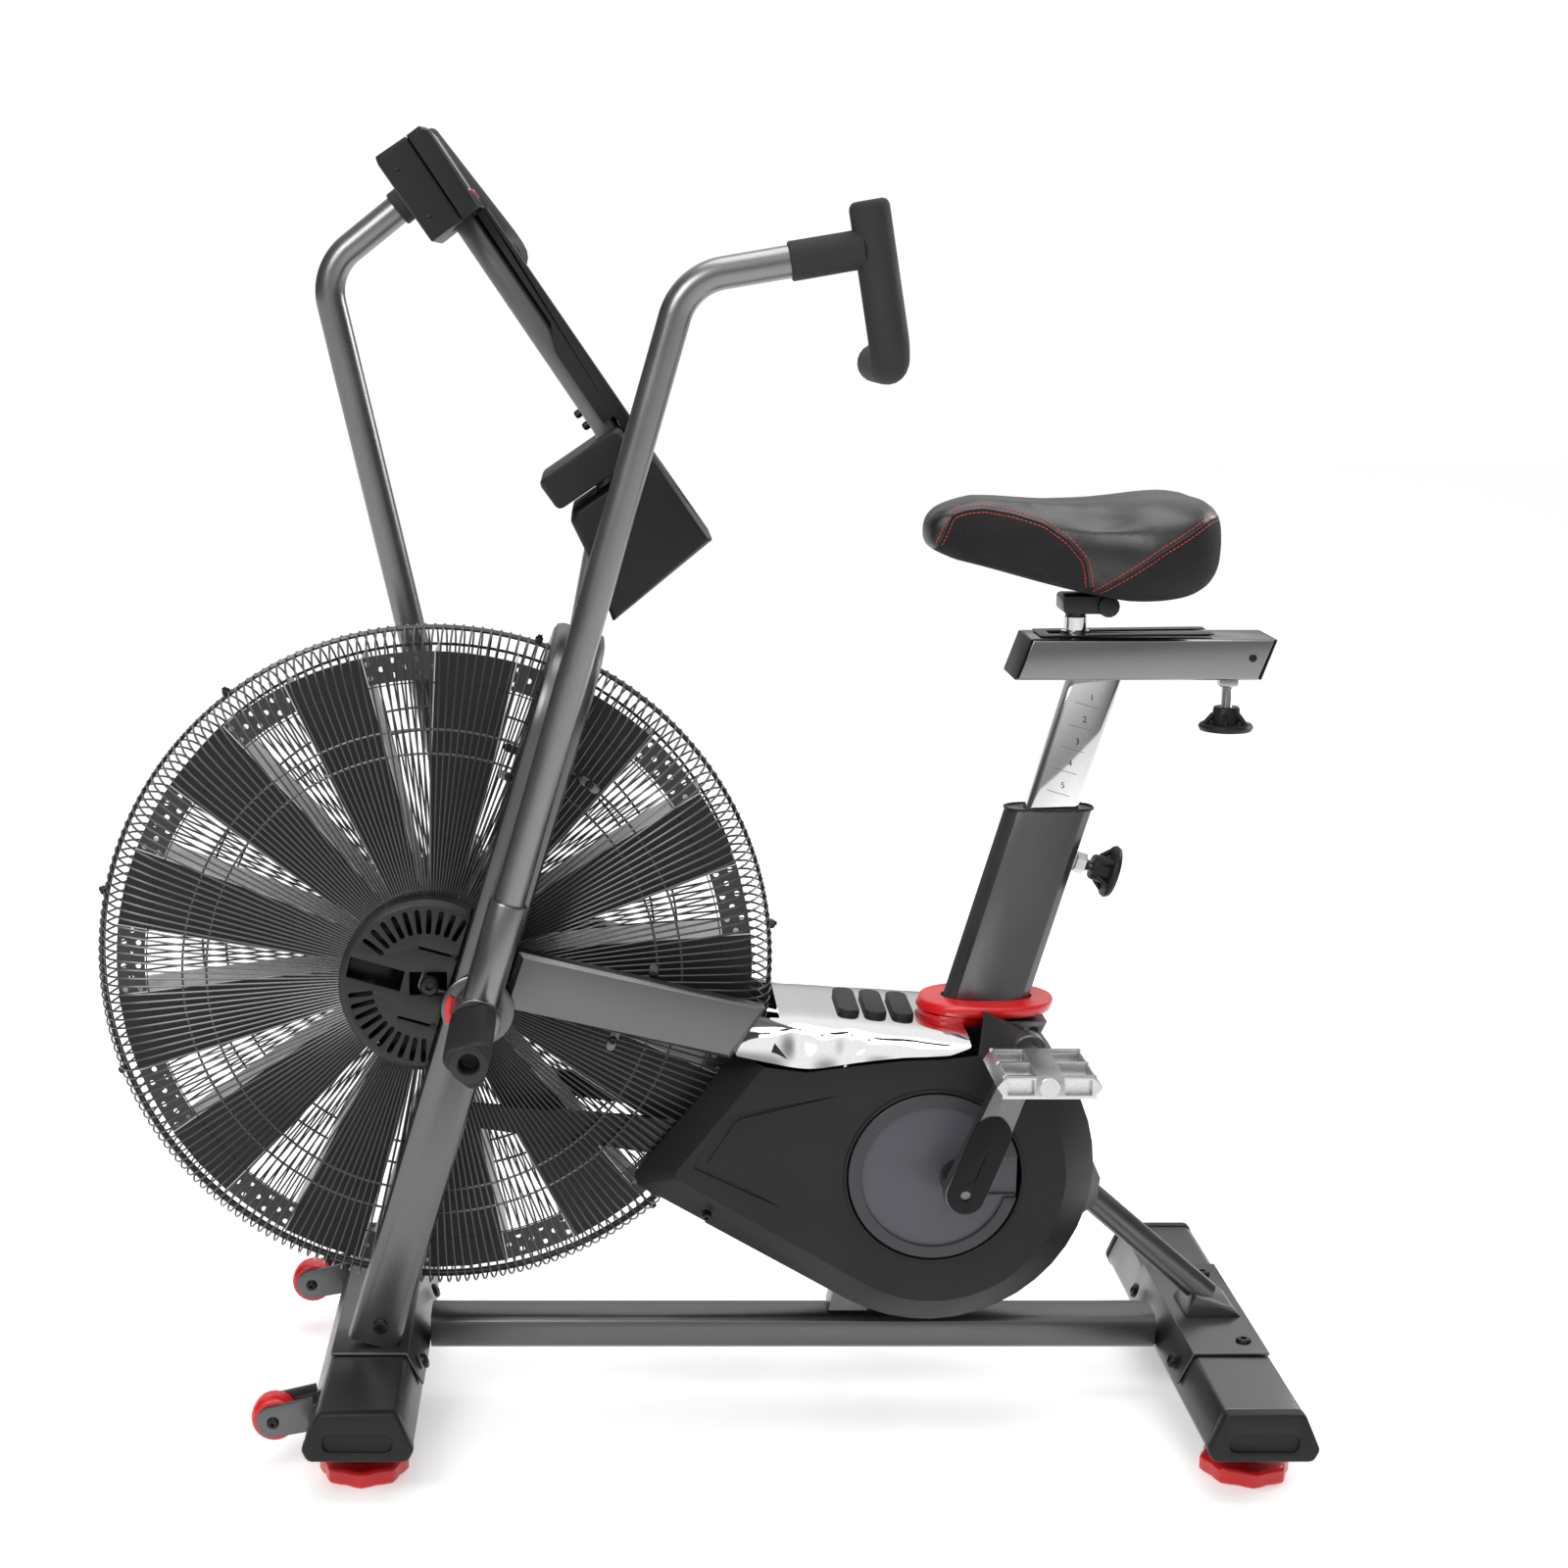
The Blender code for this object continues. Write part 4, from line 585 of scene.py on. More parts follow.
def wire_cage(side, word):
    """One dished half of the cage: radial wires, hoops, and the two hoops of the rim."""
    profile = [
        (0.088, 0.08), (0.14, 0.0793), (0.193, 0.0783), (0.245, 0.0765), (0.29, 0.0741), (0.318, 0.0716),
        (0.336, 0.0676), (0.348, 0.0612), (0.356, 0.052), (0.362, 0.039), (0.3665, 0.024), (0.3686, 0.011),
        (0.368, 0.0042),
    ]
    first = tube([FAN + Vector((r, side * y, 0)) for r, y in profile], 0.00118, 1)
    put_down()
    bpy.ops.object.empty_add(location=FAN)
    step = bpy.context.object
    first.location = (0, 0, 0)
    bpy.context.scene.cursor.location = FAN
    pick(first)
    bpy.ops.object.origin_set(type="ORIGIN_CURSOR")
    step.rotation_euler = (0, math.radians(360 / WIRES), 0)
    bpy.context.view_layer.update()
    repeat = first.modifiers.new("round", "ARRAY")
    repeat.count = WIRES
    repeat.use_relative_offset = False
    repeat.use_object_offset = True
    repeat.offset_object = step
    finish_modifiers(first)
    bpy.data.objects.remove(step, do_unlink=True)
    seat_at_origin(first)
    parts = [first]
    for radius, y, thick in ((0.096, 0.0778, 0.0016), (0.242, 0.0746, 0.0014), (0.268, 0.0733, 0.0014),
                             (0.3668, 0.0042, 0.0024)):
        parts.append(tube(hoop(FAN, radius, side * y, 160), thick, 1, closed=True))
    wear(parts, f"wire_cage_{word}", "frame", "wire", replaces=f"cage_{word}")


def hub_cover(side, word):
    """The round hub cover with its vent slots, its long pocket and two screws in grooves."""
    cover = cad_copy(f"hub_cap_{word}")
    centre = (FAN.x - 0.004, FAN.z - 0.003)
    face = side * HUB_FACE
    tools = []

    def spot(dx, dz):
        return centre[0] + dx, centre[1] + dz

    for start, end in ((142, 59.5), (187, 267)):
        for k in range(10):
            angle = start + (end - start) * k / 9
            t = math.radians(angle)
            middle = spot(0.0705 * math.cos(t), 0.0705 * math.sin(t))
            tools.append(slab(pill(middle, 0.027, 0.0054, angle), face - side * 0.016, face + side * 0.004))
    pocket = [spot(-0.08, 0.033), spot(-0.0225, 0.0165), spot(-0.0285, -0.006), spot(-0.0855, 0.0105)]
    tools.append(slab(pocket, face - side * 0.013, face + side * 0.004))
    for a, b in ((spot(-0.0076, 0.0426), spot(0.027, 0.033)), (spot(-0.0305, -0.0335), spot(0.003, -0.043))):
        middle = ((a[0] + b[0]) / 2, (a[1] + b[1]) / 2)
        lean = math.degrees(math.atan2(b[1] - a[1], b[0] - a[0]))
        tools.append(slab(pill(middle, 0.036, 0.0032, lean), face - side * 0.006, face + side * 0.004))
    carve(cover, gather("hub_tools", tools))
    wear(soften(cover, 0.0008), f"hub_cover_{word}", "frame", "plastic", "hub", replaces=f"hub_cap_{word}")
    back = turned_piece((centre[0], 0, centre[1]), ACROSS * side, [(0.086, 0.085), (0.086, 0.0872)], 64)
    bore = turned_piece(FAN, ACROSS * side, [(0.0095, 0.08), (0.0095, 0.095)], 24)
    wear(carve(back, bore), f"hub_back_{word}", "frame", "plastic", "cap_black")
    screws = []
    for x, z in (spot(0.03, 0.0318), spot(0.0062, -0.044)):
        screws.append(bolt((x, face, z), (0, side, 0), 0.0036, 0.002))
    wear(screws, f"hub_screws_{word}", "frame", "plastic", "screw")


def fan_wheel():
    """Thirteen bent blades on a drum, with a perforated strip round the rim."""
    webs, flanges = [], []
    for i in range(BLADES):
        turn = math.radians(360 / BLADES * i - 1.2)
        c, s = math.cos(turn), math.sin(turn)

        def spot(radius, across):
            return FAN.x + c * radius - s * across, FAN.z + s * radius + c * across

        outline = [spot(0.046, -0.0115), spot(0.2, -0.03), spot(0.343, -0.043), spot(0.3455, 0.0),
                   spot(0.343, 0.043), spot(0.2, 0.03), spot(0.046, 0.0115)]
        webs.append(slab(outline, -0.0375, -0.036))
        for hand in (-1, 1):
            edge = [spot(0.052, hand * 0.012), spot(0.2, hand * 0.03), spot(0.343, hand * 0.043),
                    spot(0.343, hand * 0.0442), spot(0.2, hand * 0.0312), spot(0.052, hand * 0.0132)]
            flanges.append(slab(edge, -0.0372, 0.034))
    wear(soften(gather("fan_webs", webs), 0.0004, 1), "fan_webs", "fan", "blade", replaces="fan_rotor")
    # The flanges wear the lighter grey, a painted highlight over the blades' dark metal.
    wear(flanges, "fan_flanges", "fan", "blade", "flange")
    strips = []
    for y, inside in ((-0.035, 0.315), (0.0325, 0.3425)):
        strip = slab(arc((FAN.x, FAN.z), STRIP_RADIUS, 0, 360, 104)[:-1], y, y + 0.0015)
        inner = slab(arc((FAN.x, FAN.z), inside, 0, 360, 104)[:-1], y - 0.01, y + 0.01)
        if y > 0:
            strips.append(carve(strip, inner))
            continue
        holes = []
        for k in range(BLADES * 6):
            for radius, shift in ((0.322, 0.0), (0.33, 0.5), (0.338, 0.0)):
                t = 2 * math.pi * (k + shift) / (BLADES * 6)
                centre = (FAN.x + radius * math.cos(t), FAN.z + radius * math.sin(t))
                holes.append(arc(centre, 0.0031, 0, 360, 8)[:-1])
        put_down()
        bpy.ops.mesh.primitive_circle_add(vertices=8, radius=0.0026, fill_type="NGON")
        drill = bpy.context.object
        mesh = bmesh.new()
        for ring in holes:
            low = [mesh.verts.new((x, y - 0.005, z)) for x, z in ring]
            high = [mesh.verts.new((x, y + 0.006, z)) for x, z in ring]
            mesh.faces.new(low)
            mesh.faces.new(high[::-1])
            for a in range(8):
                b = (a + 1) % 8
                mesh.faces.new((low[a], high[a], high[b], low[b]))
        bmesh.ops.recalc_face_normals(mesh, faces=mesh.faces)
        mesh.to_mesh(drill.data)
        mesh.free()
        strips.append(carve(carve(strip, inner), drill))
    wear(smooth(gather("fan_strip", strips)), "fan_strip", "fan", "blade", "strip")
    drum = turned_piece(FAN, ACROSS, [(0.05, -0.036), (0.05, 0.04), (0.03, 0.0405), (0.03, 0.056)])
    seam = tube(hoop(FAN, 0.3125, -0.0376, 104), 0.0007, 1, closed=True)
    wear([drum, seam], "fan_drum", "fan", "blade")


# ---- Arms and grips -----------------------------------------------------------------------------


def handle_spot(level, down=0.0):
    along = ARM_REACH + math.sin(HANDLE_RISE) * level - math.cos(HANDLE_RISE) * down
    return along, math.cos(HANDLE_RISE) * level + math.sin(HANDLE_RISE) * down


def swing_arm(side, word):
    lean = ARM_MIDDLE - side * ARM_SWING
    y = side * ARM_Y

    def spot(along, out=0.0, across=y):
        x = PIVOT.x + math.sin(lean) * along + math.cos(lean) * out
        return Vector((x, across, PIVOT.z + math.cos(lean) * along - math.sin(lean) * out))

    body = f"arm_{word}"
    path = bent([spot(0.012), spot(ARM_REACH), spot(*handle_spot(LEVEL_TUBE))], ARM_BEND, 18)
    bar = tube(path, ARM_RADIUS, 8)
    sleeve = turned_piece(
        spot(0.008), spot(1.0) - spot(0.0),
        [(0.0203, 0.0), (0.0205, 0.002), (0.0205, 0.1195), (0.0196, 0.1215)], 48,
    )
    boss = turned_piece(
        PIVOT, ACROSS * side, [(0.025, 0.1295), (0.0262, 0.1305), (0.0262, 0.169), (0.0245, 0.1708)], 48
    )
    wear([bar, sleeve, boss], f"swing_bar_{word}", body, "arm", replaces=f"arm_{word}")
    tip = PIVOT + Vector((math.sin(side * -ARM_SWING), 0, math.cos(ARM_SWING))) * -LEVER_REACH
    angle = math.degrees(math.atan2(tip.z - PIVOT.z, tip.x - PIVOT.x))
    outline = arc((PIVOT.x, PIVOT.z), 0.019, angle + 90, angle + 270, 12)
    outline += arc((tip.x, tip.z), 0.012, angle - 90, angle + 90, 10)
    lever = soften(slab(outline, side * 0.0695, side * 0.0755), 0.0008)
    shaft = turned_piece(PIVOT, ACROSS * side, [(0.0115, 0.072), (0.0115, 0.131)], 24)
    pin = turned_piece(tip, ACROSS * side, [(0.005, 0.0605), (0.005, 0.0725)], 16)
    wear([lever, shaft, pin], f"arm_lever_{word}", body, "arm", "dark_metal")
    level = LEVEL_ALL[side]
    top, low = spot(*handle_spot(level, -0.046)), spot(*handle_spot(level, 0.117))
    hook = spot(*handle_spot(level - 0.006, 0.117), side * (ARM_Y - 0.105))
    points = bent([top, low, hook], GRIP_BEND, 14)
    first, last = (points[1] - points[0]).normalized(), (points[-2] - points[-1]).normalized()
    start = [points[0] + first * d for d in (0.0, 0.0012, 0.0035, 0.007)]
    end = [points[-1] + last * d for d in (0.007, 0.0035, 0.0012, 0.0)]
    path = start + points[1:-1] + end
    sizes = [0.7, 0.84, 0.94, 1.0] + [1.0] * (len(points) - 2) + [0.98, 0.92, 0.8, 0.62]
    grip = tube(path, GRIP_RADIUS, 8, taper=sizes)
    begin = spot(*handle_spot(LEVEL_TUBE))
    axis = (spot(*handle_spot(level)) - begin).normalized()
    length = level - LEVEL_TUBE
    socket = turned_piece(
        begin, axis,
        [(0.0188, 0.0003), (0.0199, 0.0018), (0.0196, length * 0.7), (0.0202, length - 0.012)], 48,
    )
    wear([grip, socket], f"grip_{word}_foam", body, "foam", replaces=f"grip_{word}")


# ---- Cranks and pedals --------------------------------------------------------------------------


def crank_and_pedal(side, word):
    turn = CRANK_TURN + (0.0 if side < 0 else math.pi)
    along = Vector((math.cos(turn), 0, math.sin(turn)))
    end = CRANK + along * CRANK_LENGTH
    angle = math.degrees(turn)
    middle = CRANK + along * 0.036
    cap = slab(pill((middle.x, middle.z), 0.112, 0.04, angle, 10), side * 0.166, side * 0.1712)
    groove = slab(pill((middle.x + 0.002, middle.z), 0.032, 0.0016, angle, 4), side * 0.17, side * 0.173)
    hole = turned_piece(CRANK, ACROSS * side, [(0.0055, 0.168), (0.0055, 0.173)], 20)
    carve(cap, groove, hole)
    wear(soften(cap, 0.0016, 3), f"crank_cap_{word}", "crank", "dark_metal", "cap_black")
    eye = turned_piece(
        end, ACROSS * side, [(0.0165, 0.147), (0.0172, 0.148), (0.0172, 0.168), (0.016, 0.1692)], 32
    )
    flat = turned_piece(end, ACROSS * side, [(0.01, 0.169), (0.01, 0.195)], 6)
    wear([eye, flat], f"crank_eye_{word}", "crank", "dark_metal")
    body = f"pedal_{word}"
    y0, y1 = side * 0.196, side * 0.292
    x, z = end.x, end.z
    outline = [(-0.053, 0.0), (-0.044, 0.0118), (-0.013, 0.0118), (0.013, 0.0118), (0.044, 0.0118),
               (0.053, 0.0), (0.044, -0.0118), (-0.044, -0.0118)]
    outline = [(x + a, z + b) for a, b in outline]
    cage = slab(outline, y0, y1)
    wells = [
        slab([(x + a, z - 0.02), (x + b, z - 0.02), (x + b, z + 0.02), (x + a, z + 0.02)], p, q)
        for a, b in ((-0.0435, -0.0135), (0.0135, 0.0435))
        for p, q in ((side * 0.201, side * 0.241), (side * 0.2465, side * 0.287))
    ]
    for p, q in ((0.19, 0.203), (0.285, 0.3)):
        for a, b in ((-0.042, -0.0155), (0.0155, 0.042)):
            corners = [(a, -0.008), (b, -0.008), (b, 0.008), (a, 0.008)]
            wells.append(slab([(x + m, z + n) for m, n in corners], side * p, side * q))
    carve(cage, gather("pedal_tools", wells))
    soften(cage, 0.0009)
    sleeve = turned_piece(
        end, ACROSS * side, [(0.011, 0.1952), (0.0118, 0.1965), (0.0118, 0.291), (0.01, 0.2925)], 28
    )
    pins = []
    for a in (-0.0455, 0.0455):
        for across in (0.199, 0.2438, 0.289):
            low = Vector((x + a, side * across, z))
            for lift in (-1, 1):
                pins.append(
                    turned_piece(low, UP * lift, [(0.0017, 0.009), (0.0017, 0.0122), (0.0012, 0.0127)], 10)
                )
    wear([cage, sleeve] + pins, f"pedal_{word}_cage", body, "aluminium",
         replaces=f"pedal_{word}")
    ring = turned_piece(
        COVER_CENTRE, ACROSS * side, [(0.092, 0.1075), (0.092, 0.113), (0.0905, 0.114), (0.08, 0.114)], 72
    )
    bore = turned_piece(COVER_CENTRE, ACROSS * side, [(0.079, 0.1), (0.079, 0.12)], 72)
    slot = [
        (CRANK.x, CRANK.z - 0.0225), (CRANK.x + 0.09, CRANK.z - 0.0225),
        (CRANK.x + 0.09, CRANK.z + 0.0225), (CRANK.x, CRANK.z + 0.0225),
    ]
    carve(ring, bore, slab(slot, side * 0.1, side * 0.12))
    wear(soften(ring, 0.0008), f"plate_ring_{word}", "frame", "disc", "disc_edge")
    bore = turned_piece(CRANK, ACROSS * side, [(0.0125, 0.1), (0.0125, 0.11)], 28)
    floor = slab([(CRANK.x - 0.022, CRANK.z - 0.021), (0.3535, CRANK.z - 0.021), (0.3535, CRANK.z + 0.021),
                  (CRANK.x - 0.022, CRANK.z + 0.021)], side * 0.105, side * 0.1064)
    wear(carve(floor, bore), f"slot_floor_{word}", "frame", "disc")
    lip = tube(hoop(COVER_CENTRE, 0.0955, side * 0.1122, 96), 0.0018, 2, closed=True)
    wear(lip, f"cover_lip_{word}", "frame", "plastic")


def side_cover(side, word):
    """The moulded side cover with the arrow-shaped hollow in its face, the hole for its screw, and its top
    cut back under the hood.
    """
    cover = cad_copy(f"cover_{word}")
    face = side * COVER_FACE
    outer = [
        (0.1632, 0.387), (0.047, 0.3655), (0.04, 0.361), (0.006, 0.311), (0.0062, 0.3045), (0.1033, 0.2588)
    ]
    inner = [(0.024, 0.305), (0.0205, 0.311), (0.05, 0.356), (0.056, 0.3605)]
    cut = slab(outer + inner, face - side * 0.0024, face + side * 0.005)
    hole = turned_piece((0.0206, 0, 0.2452), ACROSS * side, [(0.0062, 0.085), (0.0062, 0.118)], 24)
    under_hood = slab([(0.08, 0.4283), (0.0935, 0.4255), (0.125, 0.4205), (0.158, 0.424), (0.205, 0.4305),
                       (0.255, 0.4338), (0.278, 0.435), (0.295, 0.44), (0.295, 0.49), (0.08, 0.49)],
                      0.0, side * 0.115)
    carve(cover, cut, hole, under_hood)
    wear(soften(cover, 0.0016, 3), f"side_cover_{word}", "frame", "plastic", replaces=f"cover_{word}")


# ---- Hood, pads and seat pillar -----------------------------------------------------------------


def hood():
    """The bright hood: one pressed sheet with soft hollows in its sides and a wavy lower edge."""
    lower = ((0.049, 0.431), (0.08, 0.4243), (0.0935, 0.4215), (0.108, 0.4185), (0.125, 0.4165),
             (0.14, 0.4172), (0.158, 0.42), (0.18, 0.4235), (0.205, 0.4265), (0.23, 0.429),
             (0.255, 0.4298), (0.278, 0.431), (0.3, 0.4395))
    upper = ((0.049, 0.4625), (0.0935, 0.4625), (0.108, 0.4615), (0.125, 0.4609), (0.18, 0.4564),
             (0.23, 0.4525), (0.278, 0.4482), (0.3, 0.4475))

    def level(points, x):
        for (x0, z0), (x1, z1) in zip(points, points[1:]):
            if x <= x1:
                return z0 + (z1 - z0) * (x - x0) / (x1 - x0)
        return points[-1][1]

    stations = []
    for k in range(49):
        x = 0.049 + 0.251 * k / 48
        low = level(lower, x)
        hollow = 0.007 * math.exp(-(((x - 0.118) / 0.015) ** 2))
        hollow += 0.006 * math.exp(-(((x - 0.172) / 0.014) ** 2))
        stations.append((x, low, level(upper, x), hollow + 0.003 * math.exp(-(((x - 0.235) / 0.02) ** 2))))
    half = ((0.1124, 0.0), (0.1114, 0.18), (0.1086, 0.38), (0.1036, 0.58), (0.0962, 0.75), (0.0865, 0.88),
            (0.0755, 0.96), (0.063, 1.0), (0.032, 1.0))
    section = [(-y, lift) for y, lift in half] + [(0.0, 1.0)] + [(y, lift) for y, lift in reversed(half)]
    rows = []
    for x, low, high, hollow in stations:
        row = []
        for y, lift in section:
            dent = hollow * math.sin(math.pi * min(lift, 1.0))
            row.append((x, y - math.copysign(dent, y) if y else 0.0, low + (high - low) * lift))
        rows.append(row)
    sheet = draped(rows)
    curve = sheet.modifiers.new("curve", "SUBSURF")
    curve.levels = curve.render_levels = 1
    wall = sheet.modifiers.new("wall", "SOLIDIFY")
    wall.thickness = 0.0022
    wall.offset = -1.0
    finish_modifiers(sheet)
    tools = [slab(arc((FAN.x, FAN.z), 0.3765, -30, 10, 60) + [(FAN.x, FAN.z)], -0.0715, 0.0715)]
    top = SEAT_FOOT.xz + Vector((math.tan(SEAT_LEAN), 1.0)) * 0.03
    low = SEAT_FOOT.xz - Vector((math.tan(SEAT_LEAN), 1.0)) * 0.08
    tools.append(
        slab(
            [
                (low.x - 0.052, low.y), (low.x + 0.052, low.y), (top.x + 0.052, top.y),
                (top.x - 0.052, top.y),
            ],
            -0.0255, 0.0255,
        ),
    )
    slope = Vector((math.cos(BOOM_SLOPE), -math.sin(BOOM_SLOPE)))
    drop = Vector((-slope.y, slope.x)) * -1
    start = BOOM_START.xz
    for side in (-1, 1):
        corners = [
            start - drop * 0.001, start + slope * 0.269 - drop * 0.001,
            start + slope * 0.2465 + drop * 0.063, start + drop * 0.063,
        ]
        tools.append(slab([(c.x, c.y) for c in corners], side * 0.0895, side * 0.119))
    carve(sheet, *tools)
    return smooth(tidy_mesh(sheet, 1e-5), 50)


def hood_and_pads():
    wear(hood(), "chrome_hood", "frame", "chrome", replaces="top_shroud")
    pads = []
    for k in range(3):
        x = 0.1765 + 0.0297 * k
        z = 0.459 - 0.0023 * k
        outline = pill((x, 0.0), 0.094, 0.0235, 90, 10)
        put_down()
        bpy.ops.mesh.primitive_circle_add(vertices=len(outline), radius=1.0, fill_type="NGON")
        pad = bpy.context.object
        for vertex, (px, py) in zip(pad.data.vertices, outline):
            vertex.co = (px, py, z - 0.004 - (px - x) * 0.07)
        bpy.ops.object.mode_set(mode="EDIT")
        bpy.ops.mesh.select_all(action="SELECT")
        bpy.ops.mesh.extrude_region_move(TRANSFORM_OT_translate={"value": (0, 0, 0.0075)})
        pads.append(soften(tidy_mesh(pad), 0.0016, 3))
    wear(pads, "hood_pads", "frame", "rubber")
    for side, word in SIDES:
        corners = [(0.0915, 0.443), (0.0862, 0.4325), (0.1075, 0.4235)]
        chip = slab(corners, side * 0.096, side * 0.1098)
        wear(soften(chip, 0.001), f"hood_inset_{word}", "frame", "plastic", "screw")


def red_collar():
    """The thick red collar round the foot of the seat tube, with its rolled edge and short skirt."""

    def ring(z, deep, wide):
        x = SEAT_FOOT.x + math.tan(SEAT_LEAN) * (z - SEAT_FOOT.z)
        turns = [2 * math.pi * k / 64 for k in range(65)]
        shape = [(math.cos(t), math.sin(t)) for t in turns]
        return [
            (x + deep * math.copysign(abs(a) ** 0.8, a), wide * math.copysign(abs(b) ** 0.9, b), z)
            for a, b in shape
        ]

    rows = [ring(0.4542, 0.07, 0.0515), ring(0.4546, 0.0722, 0.0536), ring(0.4562, 0.0738, 0.0552),
            ring(0.464, 0.0738, 0.0552), ring(0.4662, 0.0726, 0.054), ring(0.467, 0.07, 0.0515),
            ring(0.467, 0.05, 0.0262), ring(0.4542, 0.05, 0.0262), ring(0.4542, 0.07, 0.0515)]
    flange = smooth(draped(rows), 50)
    skirt = [[(x - 0.0245, y, z) for x, y, z in ring(height, deep, wide)]
             for height, deep, wide in ((0.44, 0.039, 0.04), (0.444, 0.044, 0.047), (0.4545, 0.0465, 0.05))]
    wear([flange, smooth(draped(skirt), 50)], "red_collar", "frame", "red",
         replaces="seat_collar")


def pillar_details():
    """Scale lines and figures on the pillar, the dark lip of the tube, and the two clamping knobs."""
    along = Vector((math.sin(SEAT_LEAN), 0, math.cos(SEAT_LEAN)))
    out = Vector((math.cos(SEAT_LEAN), 0, -math.sin(SEAT_LEAN)))
    marks = []
    for side in (-1, 1):
        for k, distance in enumerate((0.345, 0.32, 0.295, 0.27, 0.245)):
            middle = SEAT_FOOT + along * distance + out * 0.0005
            ends = [(middle + out * d).xz for d in (-0.012, 0.014)]
            lean = math.degrees(math.atan2(ends[1].y - ends[0].y, ends[1].x - ends[0].x))
            centre = ((ends[0].x + ends[1].x) / 2, (ends[0].y + ends[1].y) / 2)
            marks.append(slab(pill(centre, 0.026, 0.0007, lean, 3), side * 0.0148, side * 0.01512))
            put_down()
            spot = middle + along * 0.006 - out * 0.002 * side + ACROSS * side * 0.0149
            bpy.ops.object.text_add(
                location=spot, rotation=(math.radians(90), 0, 0 if side < 0 else math.radians(180))
            )
            figure = bpy.context.object
            figure.data.body = str(k + 1)
            figure.data.size = 0.0095
            figure.data.extrude = 0.0001
            bpy.ops.object.convert(target="MESH")
            marks.append(seat_at_origin(bpy.context.object))
    wear(marks, "pillar_scale", "seat_post", "chrome", "mark")
    lip = []
    for k in range(40):
        t = 2 * math.pi * k / 40
        a, b = math.cos(t), math.sin(t)
        deep = 0.0475 * math.copysign(abs(a) ** 0.55, a)
        wide = 0.0222 * math.copysign(abs(b) ** 0.75, b)
        top = 0.6783
        x = SEAT_FOOT.x + math.tan(SEAT_LEAN) * (top - SEAT_FOOT.z) + deep
        lip.append(Vector((x, wide, top)))
    wear(tube(lip, 0.0016, 2, closed=True), "tube_lip", "frame", "plastic")

    def knob(base, axis, shank, name, body, node):
        """A five-lobed handle on a plated screw with its nut."""
        parts = [
            turned_piece(
                base, axis, [(0.0112, 0.0), (0.0116, 0.001), (0.0116, 0.0105), (0.0105, 0.0115)], 6
            ),
        ]
        ridges = [(0.0056, 0.0112)]
        for k in range(12):
            d = 0.012 + (shank - 0.012) * k / 12
            ridges += [(0.0061, d), (0.0052, d + 0.0009)]
        parts.append(turned_piece(base, axis, ridges + [(0.0056, shank)], 20))
        wear(parts, f"{name}_screw", body, "steel")
        hub = turned_piece(
            base, axis,
            [(0.013, shank - 0.002), (0.014, shank), (0.0152, shank + 0.014), (0.0165, shank + 0.018)], 40,
        )
        rim = [(0.018, shank + 0.015), (0.0275, shank + 0.0165), (0.0292, shank + 0.0195),
               (0.0275, shank + 0.0235), (0.015, shank + 0.0258), (0.012, shank + 0.024)]
        dish = turned_piece(base, axis, rim, 60)
        turn = Vector(axis).to_track_quat("Z", "Y")
        ribs = []
        for k in range(5):
            t = 2 * math.pi * k / 5
            root = Vector(base) + turn @ Vector((0.0135 * math.cos(t), 0.0135 * math.sin(t), shank + 0.006))
            tip = Vector(base) + turn @ Vector((0.0235 * math.cos(t), 0.0235 * math.sin(t), shank + 0.0175))
            ribs.append(tube([root, (root + tip) / 2, tip], 0.003, 3))
        wear([hub, dish] + ribs, name, body, "plastic", replaces=node)

    base = SEAT_FOOT + along * 0.176 + out * 0.0465
    knob(base, out, 0.021, "height_knob", "post_knob", "post_knob")
    knob((0.582, 0, 0.823), -UP, 0.036, "fore_aft_knob", "slider_knob", "slider_knob")


def slider_details():
    plate = slab(
        [(0.375, 0.868), (0.545, 0.87), (0.5585, 0.8712), (0.5585, 0.8722), (0.545, 0.8722), (0.374, 0.87)],
        -0.03, 0.03,
    )
    slot = slab([(0.386, 0.86), (0.56, 0.86), (0.56, 0.88), (0.386, 0.88)], -0.0125, 0.0125)
    wear(soften(carve(plate, slot), 0.0004), "slider_top", "seat_post", "dark_metal", "screw")
    caps = []
    slant = 0.0155
    for x, step in ((0.348, -0.0022), (0.606, 0.0022)):
        outline = [(x + step, 0.824), (x, 0.824), (x + slant, 0.8672), (x + slant + step, 0.8672)]
        caps.append(soften(slab(outline, -0.0396, 0.0396), 0.0012))
    wear(caps, "slider_caps", "seat_post", "dark_metal", "plastic")
    edges = []
    for side in (-1, 1):
        edges.append(bolt((0.598, side * 0.0397, 0.8475), (0, side, 0), 0.0042, 0.002))
    wear(edges, "slider_pins", "seat_post", "dark_metal", "screw")
    collar = turned_piece(
        (0.4155, 0, 0.869), UP,
        [(0.015, 0.0), (0.0155, 0.001), (0.0155, 0.0035), (0.0125, 0.0045), (0.0122, 0.018)], 40,
    )
    wear(collar, "stem_collar", "saddle", "steel", "chrome")


# ---- Saddle -------------------------------------------------------------------------------------

FRONT_SEAM = ((0.262, 0.967), (0.275, 0.999), (0.29, 1.004), (0.308, 1.006), (0.338, 1.001), (0.369, 0.992),
              (0.392, 0.976), (0.41, 0.955), (0.4175, 0.924))
REAR_SEAM = ((0.4225, 0.918), (0.445, 0.938), (0.484, 0.969), (0.514, 0.987), (0.535, 0.999), (0.56, 1.001))


def seam_height(x):
    """Height of the side seam, which drops to the underside between its two arches."""
    points = FRONT_SEAM + REAR_SEAM
    if x <= points[0][0]:
        return points[0][1] - (points[0][0] - x) * 2.0
    for (x0, z0), (x1, z1) in zip(points, points[1:]):
        if x <= x1:
            return z0 + (z1 - z0) * (x - x0) / (x1 - x0)
    return points[-1][1]


